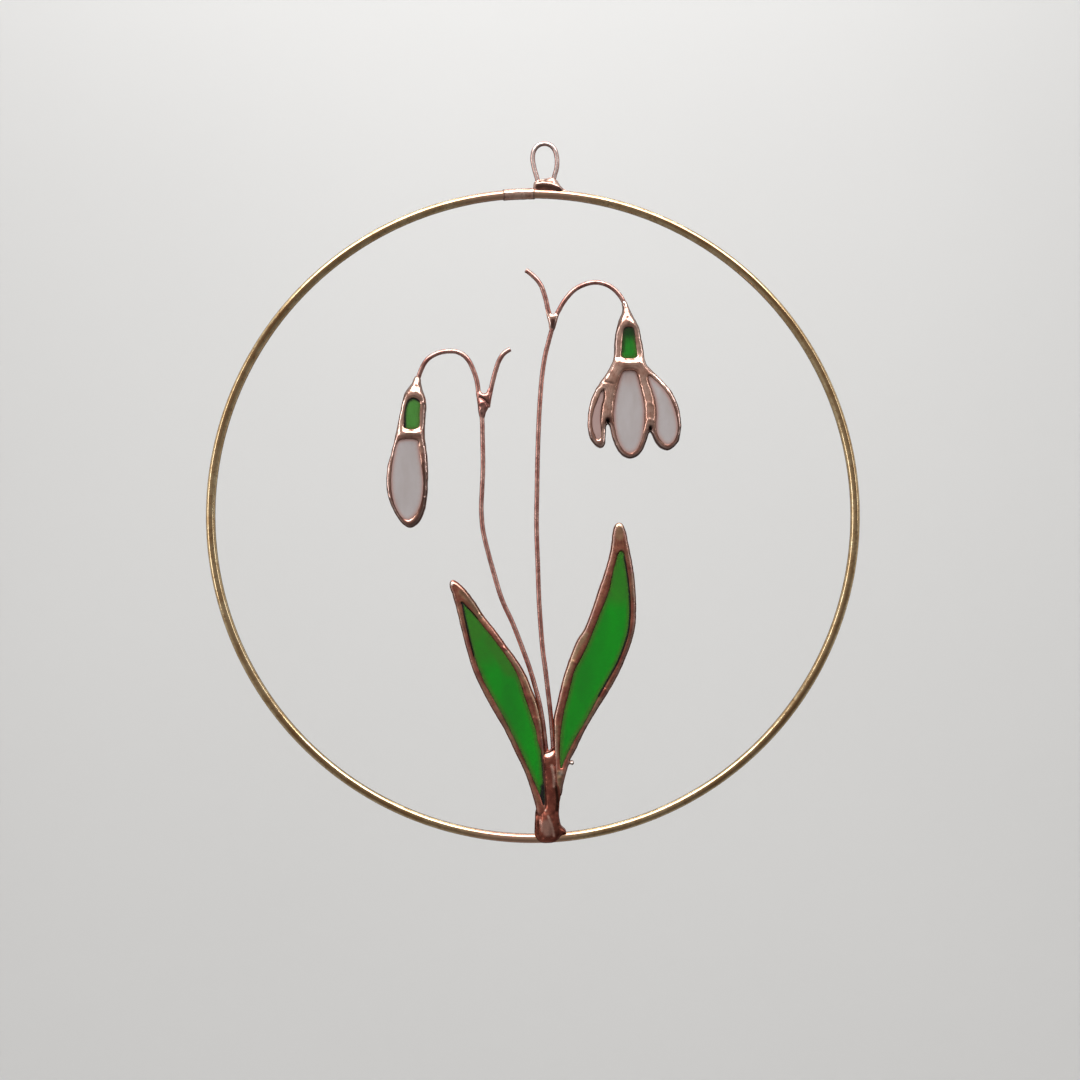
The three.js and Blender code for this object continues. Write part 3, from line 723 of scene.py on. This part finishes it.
def glass(name, clear, streak, pattern, transmission, roughness, dull):
    """Coloured glass with faint streaks of another colour that run up and down, and a dull colour
    where it is marked: near a rim a painted reflection of the copper and painted shade under it.
    Where the dark mark is it takes a painted shadow. pattern is the streaks' (size, stretch)."""
    n = Nodes(bpy.data.materials.new(name))
    streaks = n.spread(n.noise(size=pattern[0], detail=3.0, stretch=pattern[1]), 0.35, 0.68)
    colour = n.mix(streaks, clear, streak)
    # The dull colour is mostly a painted reflection of the copper rim and painted shade under it; the dark
    # mark takes a painted shadow.
    colour = n.mix(n.mark("dull"), colour, dull)
    colour = n.mix(n.mark("dark"), colour, SHADOW)
    n.bump(n.noise(size=2.5, detail=2.0), depth=0.015)
    return n.set(
        Base_Color=colour, Roughness=roughness, IOR=1.5, Transmission_Weight=transmission,
        Specular_IOR_Level=0.3,
    )


# (0.24, 0.11, 0.04) is a dark brown painted reflection that runs along the hoop's faces.
BRASS = metal(
    "hoop_brass", (0.86, 0.66, 0.4), (0.66, 0.45, 0.24), (0.08, 0.18), (0.006, 0.6),
    tint=(0.7, 0.4, 0.3), spots=((0.3, 0.16, 0.07), 0.5), painted_reflection=(0.24, 0.11, 0.04),
)
WIRE = metal(
    "copper_wire", (0.7, 0.4, 0.34), (0.44, 0.19, 0.16), (0.16, 0.3), (0.01, 0.4),
    spots=((0.24, 0.09, 0.08), 0.5),
)
# (0.95, 0.84, 0.8) is a near-white painted highlight along the loop's faces.
LOOP_WIRE = metal(
    "loop_copper", (0.7, 0.43, 0.38), (0.46, 0.23, 0.2), (0.2, 0.3), (0.01, 0.4),
    painted_reflection=(0.95, 0.84, 0.8),
)
SLEEVE_FOIL = metal(
    "sleeve_foil", (0.85, 0.57, 0.46), (0.62, 0.34, 0.25), (0.12, 0.26), (0.015, 1.2),
    spots=((0.34, 0.15, 0.1), 0.4), tint=(0.09, 0.045, 0.035),
)
# (0.9, 0.69, 0.62) is a pale painted highlight, and (0.34, 0.13, 0.1) a dark red-brown painted shade.
SOLDER = metal(
    "copper_solder", (0.87, 0.55, 0.44), (0.69, 0.37, 0.28), (0.13, 0.26), (0.035, 0.9),
    streaks=((0.46, 0.21, 0.15), 0.35), spots=((0.36, 0.15, 0.11), 0.35), painted_reflection=(0.9, 0.69, 0.62),
    tint=(0.34, 0.13, 0.1),
)
# (0.82, 0.7, 0.64) is a pale painted highlight.
FOIL = metal(
    "copper_foil", (0.5, 0.165, 0.115), (0.29, 0.08, 0.06), (0.24, 0.38), (0.02, 0.7),
    streaks=((0.55, 0.33, 0.17), 0.4), spots=((0.26, 0.09, 0.07), 0.5), painted_reflection=(0.82, 0.7, 0.64),
    tint=(0.5, 0.34, 0.2),
)
# (0.85, 0.52, 0.42) is a pale painted highlight.
FOOT = metal(
    "foot_solder", (0.43, 0.135, 0.09), (0.26, 0.07, 0.05), (0.22, 0.34), (0.015, 0.8),
    spots=((0.24, 0.07, 0.05), 0.4), painted_reflection=(0.85, 0.52, 0.42),
)
GREEN = glass(
    "green_glass", (0.0, 0.33, 0.004), (0.004, 0.24, 0.006), (6.0, (1, 1, 0.3)), 0.95, 0.04,
    dull=OLIVE,
)
CALYX = glass(
    "calyx_glass", (0.01, 0.2, 0.01), (0.02, 0.28, 0.02), (1.5, (1, 1, 0.3)), 0.85, 0.06,
    dull=OLIVE,
)
LIME = glass(
    "lime_glass", (0.06, 0.24, 0.03), (0.1, 0.33, 0.06), (1.5, (1, 1, 0.3)), 0.8, 0.06, dull=OLIVE
)
# Its pinkish dull colour is a painted reflection of the copper rims.
OPAL = glass(
    "opal_glass", (0.36, 0.32, 0.315), (0.405, 0.37, 0.37), (3.0, (1, 1, 0.35)), 0.25, 0.25,
    dull=(0.36, 0.19, 0.16),
)

# ---------- the hoop and its loop


def on_hoop(turn):
    """Points on the hoop's line, by their angle clockwise from its top."""
    return HOOP_RADIUS * np.column_stack([np.sin(turn), np.cos(turn)])


def near_solder(route):
    """How coppery the hoop is: near the loop and near the foot."""
    degrees = np.degrees(np.arctan2(route[:, 0], route[:, 1]))
    top = 1 - ease(np.abs(degrees + 1), 6, 15)
    foot = 1 - ease(180 - np.abs(degrees - 2), 4, 13)
    return np.maximum(top, foot) * 0.8


# The hoop's stripe, a dark brown painted reflection along its faces, is strongest on the diagonals, uneven
# all round and gone near the solder. Painted shade darkens its sides.
turn = np.linspace(0, 2 * math.pi, 640, endpoint=False)
ring = on_hoop(turn)
coppery = near_solder(ring)
stripe = 0.45 + 0.4 * np.sin(turn * 2) ** 2 + 0.15 * np.sin(turn * 7 + 1) * np.sin(turn * 11)
tube(
    "hoop_ring", ring, HOOP_WIRE - ROOM, BRASS, "hoop", seed=2, sides=28, closed=True,
    wobble=0.008, tint=coppery, reflection_amount=stripe * (1 - coppery),
)

sleeve_line = on_hoop(np.radians(np.linspace(0.3, -5.3, 60)))  # from end to end in degrees
place = np.arange(len(sleeve_line))
seams = 0.65 * (1 - ease(np.minimum(place, place[::-1]), 1, 4))  # dark where the foil stops
tube(
    "foil_sleeve", sleeve_line, SLEEVE, SLEEVE_FOIL, "hoop_foil_wrap", seed=5,
    sides=32, wobble=0.05, round_ends=0.08, ragged=0.4, tint=seams,
)

# Strong painted shade along the loop wire's sides, and a near-white painted highlight along its faces.
tube(
    "loop_wire", wire_line(HANG_LOOP), STEM_WIRE - ROOM, LOOP_WIRE, "hang_loop",
    seed=8, edge_shade=0.75, reflection_amount=0.8,
)

# Painted shade: the dark places dim the mound's top, and the dark and tinted places give its underside
# above the hoop a warm brown shadow.
soldered(
    "loop_mound", LOOP_SOLDER, [], (0.3, 0.6, 0.6, None), SOLDER, "loop_solder",
    seed=11, lump=(0.1, 0.9), step=0.12, spacing=0.2, edge_shade=0.4,
    ridges=[
        ([(0.8, 75.9), (2.2, 76.05), (3.6, 76), (5, 75.6), (6.3, 75.1)], 0.6, 0.6),
        ([(2.2, 76.7)], 0.3, 0.15), ([(4.4, 76.8)], 0.25, -0.2), ([(4.9, 76.5)], 0.25, 0.2),
    ],
    dark=[
        ([(0.6, 76.4), (3, 76.7), (5.2, 76.4), (6.6, 75.2)], 1.1, 0.25),
        ([(0.9, 75), (3.5, 75), (6, 74.5)], 0.8, 0.4),
    ],
    tinted=[([(0.9, 75), (3.5, 75), (6, 74.5)], 1.1, 0.8)],
)

# ---------- stems

for name, route, seed in (
    ("tall_stem", TALL_STEM, 20),
    ("tall_spathe", TALL_SPATHE, 22),
    ("short_stem", SHORT_STEM, 24),
    ("short_spathe", SHORT_SPATHE, 26),
):
    tube(name + "_wire", wire_line(route), STEM_WIRE, WIRE, name, seed=seed)

# Painted shade: a brown dark spot in the fork's hollow.
soldered(
    "tall_fork_bead", TALL_FORK, [], (0.3, 0.7, 0.62, None), SOLDER, "tall_fork_solder",
    seed=31, lump=(0.06, 0.9), step=0.12, spacing=0.2, edge_shade=0.4,
    dark=[([(4.6, 44.6), (4.5, 43.4)], 0.8, 0.6)],
    tinted=[([(4.6, 44.6), (4.4, 42.6)], 0.9, 0.8)],
)
# Painted shade in the dents of the bead.
soldered(
    "short_fork_bead", SHORT_FORK, [], (0.3, 0.7, 0.62, None), WIRE, "short_fork_solder",
    seed=33, lump=(0.06, 0.9), step=0.12, spacing=0.2, edge_shade=0.4,
    ridges=[
        ([(-11.9, 25.8)], 0.5, 0.35), ([(-12, 27.1), (-11, 26.5), (-10.2, 25.4)], 0.28, -0.35),
        ([(-11.8, 24.6)], 0.25, 0.2),
    ],
    dark=[([(-11.8, 23.5)], 0.5, 0.6), ([(-12, 27.1), (-11, 26.5), (-10.2, 25.4)], 0.5, 0.6)],
)

# ---------- rims

# Painted shade: black lines along the leaves' windows and a dark wedge at the left leaf's foot, on the
# foil and, as painted shadow, on the glass.
LEFT_DARK = [
    ([(-16.2, -20), (-15.4, -24), (-14.4, -28.4), (-13.5, -32)], 0.28, 1.0),
    ([(-13.5, -32), (-12.6, -34.6), (-11.8, -36.4)], 0.2, 0.6),
    ([(-16.2, -19.7), (-14.4, -21.5), (-12.6, -23.5)], 0.24, 1.0),
    ([(2, -54.5), (2.3, -57.5), (2.55, -61.5)], 0.4, 0.85),
    ([(2.3, -62), (2.15, -63.6), (2.4, -66)], 0.8, 1.0),
]
RIGHT_DARK = [
    ([(20.95, -9.3), (21.2, -10.8), (21.8, -14.7), (22.2, -19.3), (22.2, -23.4), (21.7, -27.1),
      (19.6, -33), (17.1, -37.6), (15, -41.3)], 0.26, 1.0),
]

LEAF_RIM = (1.25, 0.65, 0.55, None)
# Painted shade along the window's upper edges, and pale painted highlights at the tip and on a few bumps.
soldered(
    "left_leaf_foil", LEFT_LEAF_EDGE, [LEFT_LEAF_WINDOW], LEAF_RIM, FOIL, "left_leaf_rim",
    seed=41, lump=(0.06, 1.8), reflection_amount=0.2,
    dark=[*LEFT_DARK[:3], ([(-16, -17.2), (-14, -19.4), (-12.3, -21.8)], 0.9, 0.35)],
    painted_reflection=[([(-18.6, -15.5)], 0.6, 0.9), ([(-11.7, -22.9)], 0.3, 0.7), ([(-6, -31)], 0.25, 0.7)],
    tinted=[
        ([(-16.5, -17.4), (-14, -20), (-12, -23)], 0.8, 0.5), ([(-17.6, -21), (-17, -24)], 0.6, 0.4),
        ([(-6, -31), (-3, -35.5), (0.5, -42.5), (2, -48.5)], 0.5, 0.6),
        ([(-8.4, -43.6), (-4, -52)], 0.6, 0.4),
    ],
    ridges=[
        ([(-18.3, -15.6)], 0.6, 0.2), ([(-12, -22.5)], 0.45, 0.2), ([(-6.9, -30), (-6, -30.5)], 0.25, 0.2),
        ([(0.2, -46), (0.9, -46.3)], 0.2, 0.15),
    ],
)
# Painted shade along the window's right edge and by the tip, and pale painted highlights on the ball of
# solder and beside it.
soldered(
    "right_leaf_foil", RIGHT_LEAF_EDGE, [RIGHT_LEAF_WINDOW], LEAF_RIM, FOIL, "right_leaf_rim",
    seed=43, dark=[*RIGHT_DARK, ([(20.9, -2.4), (21.2, -4)], 0.35, 0.6)],
    lump=(0.06, 1.8), reflection_amount=0.35,
    painted_reflection=[([(8.95, -56.5)], 0.6, 1.0), ([(6.4, -58.8)], 0.8, 0.4)],
    tinted=[
        ([(19.8, -2), (19.8, -4.6)], 1.3, 0.6), ([(12.2, -27), (9.6, -31.5), (7.2, -38.5)], 0.7, 0.7),
        ([(22.7, -13.5), (22.9, -18)], 0.6, 0.4), ([(15.5, -41.8), (12, -47.6)], 0.6, 0.5),
        ([(5.4, -48), (5.5, -55)], 0.5, 0.5), ([(6.1, -58.6), (5.9, -62)], 0.7, 0.7),
    ],
    ridges=[
        ([(9, -33.2), (9.8, -33.6)], 0.25, 0.2),
        ([(16.3, -39.5), (17.3, -40.2)], 0.25, 0.2), ([(8.95, -56.5)], 0.4, 0.3),
        ([(6, -58.4)], 0.25, 0.3), ([(6.7, -58.9)], 0.25, 0.3), ([(6.2, -59.8)], 0.3, 0.3),
    ],
)

# Painted shade: the tinted places darken the lower rims and the cone's sides to red-brown, and the dark
# places blacken the notches between the petals and darken the cone's sides and several rims.
soldered(
    "flower_solder", FLOWER_EDGE, [FLOWER_CALYX, LEFT_PETAL, CENTRE_PETAL, RIGHT_PETAL],
    (1.2, 0.6, 0.95, (43.4, 46.6)), SOLDER, "flower_frame", seed=45,
    lump=(0.09, 1.4), crease=(0.035, 0.5), ragged=0.08,
    tinted=[
        ([(17.4, 22), (18.1, 18.8), (19.2, 15.6), (22.4, 13.7), (25, 15.5), (26.4, 19)], 1.0, 0.75),
        ([(27.2, 19.6), (28.6, 16.6), (30.9, 15.6), (33.1, 18), (33.4, 22), (32.4, 26)], 0.9, 0.7),
        ([(13, 24), (13, 20), (14.4, 16.6), (16.1, 17)], 0.8, 0.6),
        ([(19.6, 45), (19, 41), (18.9, 37.4)], 0.5, 0.5), ([(16.4, 31), (17.9, 33)], 0.6, 0.4),
        ([(21.1, 47.8), (21.5, 46.2), (21.8, 44.6)], 0.8, 0.3),
    ],
    dark=[
        ([(17.1, 21.9), (17.15, 20.9)], 0.75, 1.0), ([(26.9, 20.3), (26.9, 19.2)], 0.6, 1.0),
        ([(20.6, 47.6), (20.1, 45.6), (19.5, 43.6)], 0.7, 0.6),
        ([(22.3, 47), (23.3, 45), (24.1, 43.2)], 0.6, 0.55), ([(21.9, 43.9)], 0.5, 0.4),
        ([(16.2, 30.7), (18.4, 30.3)], 0.3, 0.6), ([(21, 49), (21.4, 47)], 0.9, 0.35),
        ([(17.6, 20), (18.6, 16.4), (20, 14.2), (22.4, 13.2), (24.8, 14.6), (26.2, 18)], 0.5, 0.6),
        ([(27.4, 18.6), (29, 15.9), (31, 15.1), (33, 16.6), (33.8, 20)], 0.5, 0.6),
        ([(12.9, 19), (14, 16.5), (15.3, 15.7)], 0.5, 0.5), ([(19.2, 42), (18.8, 38)], 0.5, 0.4),
        ([(16.1, 28.9), (16.2, 27.1), (15.7, 24.8), (15.5, 22), (15.6, 19.6)], 0.35, 0.8),
    ],
    ridges=[
        ([(17.1, 21.6), (17.15, 20.9)], 0.45, -1.0), ([(26.9, 20.2), (26.9, 19.2)], 0.4, -0.9),
        ([(19.8, 34.7), (22.1, 34.7), (24.4, 34.7)], 0.55, 0.15),
        ([(20.6, 35.9), (23.5, 35.9)], 0.45, -0.25),
        ([(17.1, 27)], 0.25, 0.15), ([(26.4, 25.8), (27.2, 25.6)], 0.25, 0.15),
        ([(16.4, 30.6), (18.4, 30.3)], 0.25, -0.14), ([(26.5, 22), (27.5, 21.7)], 0.3, 0.2),
        ([(19.3, 36.2)], 0.5, -0.25), ([(21, 46.6)], 0.4, 0.12), ([(21.8, 45.2)], 0.35, -0.12),
        ([(20.5, 44.6)], 0.4, 0.12), ([(22.9, 43.9), (24.1, 42.4)], 0.4, 0.15),
    ],
)
# Painted shade: the tinted places darken the lower rims to red-brown, and the dark places darken the top
# of the frame, its right side and its bottom.
soldered(
    "bud_solder", BUD_EDGE, [BUD_CALYX, BUD_PETAL], (1.2, 0.6, 0.95, (27.6, 30)), SOLDER,
    "bud_frame", seed=47, lump=(0.09, 1.4), crease=(0.035, 0.5), ragged=0.07,
    tinted=[
        ([(-33, 6), (-31.6, 1.6), (-29.4, -1.4), (-28, -2), (-26.2, -0.8), (-24.9, 3.4),
          (-24.6, 9), (-24.8, 14)], 1.0, 0.8),
        ([(-32.9, 7), (-32.7, 11), (-31.4, 16.6)], 0.7, 0.45),
        ([(-31, 18), (-28, 17.8), (-25.3, 18)], 0.6, 0.6), ([(-25.1, 19), (-24.9, 25)], 0.6, 0.5),
    ],
    dark=[
        ([(-27.6, 30.8), (-28.6, 29), (-29.6, 27)], 0.8, 0.6), ([(-25.9, 30.4), (-25, 28)], 0.5, 0.6),
        ([(-24.6, 26), (-24.5, 21), (-24.8, 16.5)], 0.45, 0.5),
        ([(-25.1, 12), (-24.8, 8), (-24.9, 3.5), (-26, 0)], 0.4, 0.5),
        ([(-32.6, 13.5), (-33.1, 8.4), (-32.8, 5), (-31.4, 1)], 0.6, 0.3), ([(-26.7, 31.6)], 0.9, 0.4),
        ([(-24.5, 9), (-24.9, 3), (-26.4, -1), (-28.5, -2.4), (-30.4, -0.8)], 0.9, 0.4),
    ],
    ridges=[
        ([(-29.8, 18.9), (-28, 18.9), (-26, 18.9)], 0.5, 0.15),
        ([(-28.9, 19.9), (-26.6, 19.9)], 0.45, -0.25),
        ([(-24.8, 27.6)], 0.35, 0.3), ([(-25.2, 25.8)], 0.3, 0.3), ([(-25.4, 16.1)], 0.3, 0.2),
        ([(-33.2, 4.3), (-32.6, 4)], 0.2, 0.15), ([(-25, 4.3), (-24.4, 4)], 0.2, 0.15),
        ([(-30.6, 18.1), (-28.2, 18.4), (-25.8, 18.1)], 0.18, -0.15),
        ([(-27.1, 30.2)], 0.4, 0.12), ([(-26.4, 29.2)], 0.35, -0.12), ([(-27.8, 28.7)], 0.35, 0.12),
    ],
)

# Pale painted highlights on the trunk, the boss and the crotch, and painted shade along the trunk's sides
# and beside the boss.
soldered(
    "foot_solder", BASE_SOLDER, [], (1.3, 0.35, 0.95, None), FOOT, "base_solder",
    seed=49, lump=(0.1, 1.6), crease=(0.03, 0.6), step=0.16, spacing=0.26, reflection_amount=0,
    ridges=[
        ([(2.2, -54.2), (3.7, -54), (5.1, -53)], 0.6, -0.5),
        ([(0.4, -67.6), (1.2, -67.2), (2, -67.6)], 1.3, -0.5),
        ([(4.2, -57.4), (4.6, -59.6), (4.7, -61.8)], 0.5, 0.16),
        ([(2.9, -68.5), (3.1, -70.4), (3.1, -72.6)], 1.0, 0.3),
        ([(1.6, -68.4), (1.5, -70.9), (2.3, -73.4)], 0.35, -0.35),
        ([(4.8, -68.2), (5, -70.6), (4.6, -73.4)], 0.5, -0.25),
        ([(5.3, -61.5), (5.4, -64.5), (5.3, -67.5)], 0.35, -0.28),
        ([(2.75, -67.1)], 0.35, 0.4), ([(6.4, -71), (7.4, -72.2)], 0.35, 0.15),
        ([(1, -71.6), (1.5, -73.2)], 0.2, 0.12), ([(5.6, -66), (5.9, -70)], 0.3, 0.2),
    ],
    painted_reflection=[
        ([(3.7, -54.4)], 1.2, 0.7), ([(4.3, -57), (4.75, -59.4), (4.85, -61.8)], 0.4, 0.7),
        ([(2.8, -67.15)], 0.35, 1.0), ([(3.1, -70.4), (3.4, -72)], 1.5, 0.5),
        ([(3.5, -68.5), (4.4, -71), (4.8, -73)], 0.35, 0.8), ([(1.7, -69.5), (2.1, -72)], 0.3, 0.6),
    ],
    dark=[
        ([(5.3, -61.8), (5.6, -64.5), (5.5, -67.2)], 0.5, 0.85),
        ([(5.7, -69.8), (5.5, -72.6)], 0.9, 0.5),
        ([(1, -69.8), (1.1, -72.4)], 0.55, 0.55), ([(0.6, -67.8), (2, -68.1)], 1.0, 0.5),
        ([(2.4, -54.8), (2.6, -58), (2.85, -62), (3.05, -65.6)], 0.65, 0.6),
    ],
)

# ---------- glass

pane(
    "left_leaf_pane", LEFT_LEAF_WINDOW, GREEN, "left_leaf_glass", seed=61, reach=1.3,
    dark=LEFT_DARK,
    dull=[
        ([(-15.6, -21.5), (-14, -26)], 5, 0.5), ([(-15.6, -21.5), (-12, -28)], 8.5, 0.3),
        ([(-9.5, -28.5), (-5, -35)], 2.6, 0.45),
    ],
)
pane(
    "right_leaf_pane", RIGHT_LEAF_WINDOW, GREEN, "right_leaf_glass", seed=62,
    reach=1.3, dark=RIGHT_DARK, dull=[([(20.2, -9), (20, -14), (19.5, -16)], 6, 0.35)],
)
pane(
    "flower_calyx_pane", FLOWER_CALYX, CALYX, "flower_calyx_glass", seed=63,
    dark=[([(20.5, 43.4), (23.2, 43.6)], 4.2, 0.8), ([(20.8, 42.6), (20.5, 38)], 0.9, 0.55)],
)
pane(
    "bud_calyx_pane", BUD_CALYX, LIME, "bud_calyx_glass", seed=64,
    dark=[([(-29.4, 20.4), (-29.4, 24.3), (-28.6, 26.4), (-27.4, 27.1), (-26, 26.5)], 0.6, 1.0)],
)
# Near their rims the petals take a pinkish painted reflection of the copper, and the centre petal's dull
# place is painted shade under the arch above it.
for name, window, node, dull, seed in (
    ("left_petal_pane", LEFT_PETAL, "flower_petal_left_glass", [([(14.5, 24), (15, 20)], 6, 0.6)], 65),
    ("centre_petal_pane", CENTRE_PETAL, "flower_petal_centre_glass", [([(22, 33.5)], 4.5, 0.25)], 66),
    ("right_petal_pane", RIGHT_PETAL, "flower_petal_right_glass", (), 67),
    ("bud_petal_pane", BUD_PETAL, "bud_petal_glass", (), 68),
):
    pane(name, window, OPAL, node, dull=dull, seed=seed)

# ---------- stage, light and camera


def sweep():
    """A wide pale floor, and a backdrop behind the piece that curves up out of it."""
    floor, back, top = -1.1, 0.85, 1.6  # the floor's height, the wall's place and its top
    bend, steps = 0.35, 16  # the radius of the bend between them, and its faces
    half, reach = 1.97, 20  # half the wall's width, and half the floor's
    profile = []
    for i in range(steps + 1):
        angle = math.pi / 2 * i / steps
        profile.append((back - bend + bend * math.sin(angle), floor + bend - bend * math.cos(angle)))
    profile.append((back, top))
    mesh = bpy.data.meshes.new("sweep")
    points = [(x, y, z) for y, z in profile for x in (-half, half)]
    faces = [(2 * i, 2 * i + 1, 2 * i + 3, 2 * i + 2) for i in range(len(profile) - 1)]
    faces.append(tuple(range(len(points), len(points) + 4)))
    points += [(x * reach, y * reach, floor) for x, y in ((-1, -1), (1, -1), (1, 1), (-1, 1))]
    mesh.from_pydata(points, [], faces)
    mesh.shade_smooth()
    n = Nodes(bpy.data.materials.new("sweep_paper"))
    clouds = n.noise(size=300.0, detail=2.0)
    colour = n.mix(clouds, (0.675, 0.672, 0.668), (0.65, 0.647, 0.643))
    mesh.materials.append(n.set(Base_Color=colour, Roughness=0.9))
    made = added("sweep", mesh)
    made.visible_glossy = False


def lamp(name, place, target, size, power):
    """A rectangle of white light that faces a target. size is its width and height."""
    light = bpy.data.lights.new(name, "AREA")
    light.shape = "RECTANGLE"
    light.size, light.size_y = size
    light.energy = power
    made = added(name, light)
    made.location = place
    aim = Vector(target) - Vector(place)
    made.rotation_mode = "QUATERNION"
    made.rotation_quaternion = aim.to_track_quat("-Z", "Y")


def studio():
    """Light from all round: brightest above, dim in front and below, and pale all round behind the
    piece, as a wall there would be. Straight on and through glass, the eye meets only plain grey."""
    world = bpy.data.worlds.new("studio")
    bpy.context.scene.world = world
    n = Nodes(world)

    def ranged(*values):
        """A value moved from one range to another, with no corners."""
        return n.spread(*values, kind="SMOOTHSTEP")

    def combined(operation, a, b):
        node = n.add("Math")
        node.operation = operation
        n.link(a, node.inputs[0])
        n.link(b, node.inputs[1])
        return node.outputs[0]

    split = n.add("SeparateXYZ", Vector=n.place["Generated"]).outputs
    across, ahead, up = (split[axis] for axis in "XYZ")
    low = ranged(up, -0.8, 0.25, 0.17, 0.37)
    high = ranged(up, 0.45, 0.85, 0.0, 0.95)
    sides = ranged(across, -0.9, 0.9, 1.3, 0.75)
    front = combined("MULTIPLY", combined("ADD", low, high), sides)
    wall = combined(
        "MULTIPLY", ranged(ahead, -0.05, 0.15, 0.0, 1.0), ranged(ahead, 0.55, 0.85, 1.0, 0.0)
    )
    lit = n.mix(wall, front, ranged(up, -1.0, 1.0, 0.35, 0.85), kind="FLOAT")
    ray = n.add("LightPath").outputs
    seen = combined("MAXIMUM", ray["Is Camera Ray"], ray["Is Transmission Ray"])
    strength = n.mix(seen, lit, ranged(up, 0.0, 0.5, 0.57, 0.8), kind="FLOAT")
    n.set(Color=(1.0, 0.99, 0.97), Strength=strength)


sweep()
MIDDLE = (0, 0, -0.085)  # about the middle of the piece
lamp("top_softbox", (0.0, -0.25, 0.36), MIDDLE, (0.9, 0.32), 4.9)
lamp("left_fill", (-0.6, -0.3, 0.0), MIDDLE, (0.12, 0.5), 0.6)
lamp("right_fill", (0.6, -0.35, 0.15), MIDDLE, (0.1, 0.5), 0.4)
lamp("backdrop_wash", (-0.05, 0.45, 0.8), (0.0, 0.85, 0.35), (1.0, 0.2), 4.2)
studio()

CAMERA_DISTANCE = 0.4
PICTURE_WIDTH = 0.24771  # what the picture spans at the object
PICTURE_CENTRE = HOOP_CENTRE + np.array((1.63, 0, -5.5)) * MM
camera = bpy.data.cameras.new("camera")
camera.sensor_width = 36
camera.lens = camera.sensor_width * CAMERA_DISTANCE / PICTURE_WIDTH
camera_object = added("camera", camera)
camera_object.location = PICTURE_CENTRE - (0, CAMERA_DISTANCE, 0)
camera_object.rotation_euler = (math.pi / 2, 0, 0)
bpy.context.scene.camera = camera_object

bpy.context.scene.view_settings.view_transform = "Standard"
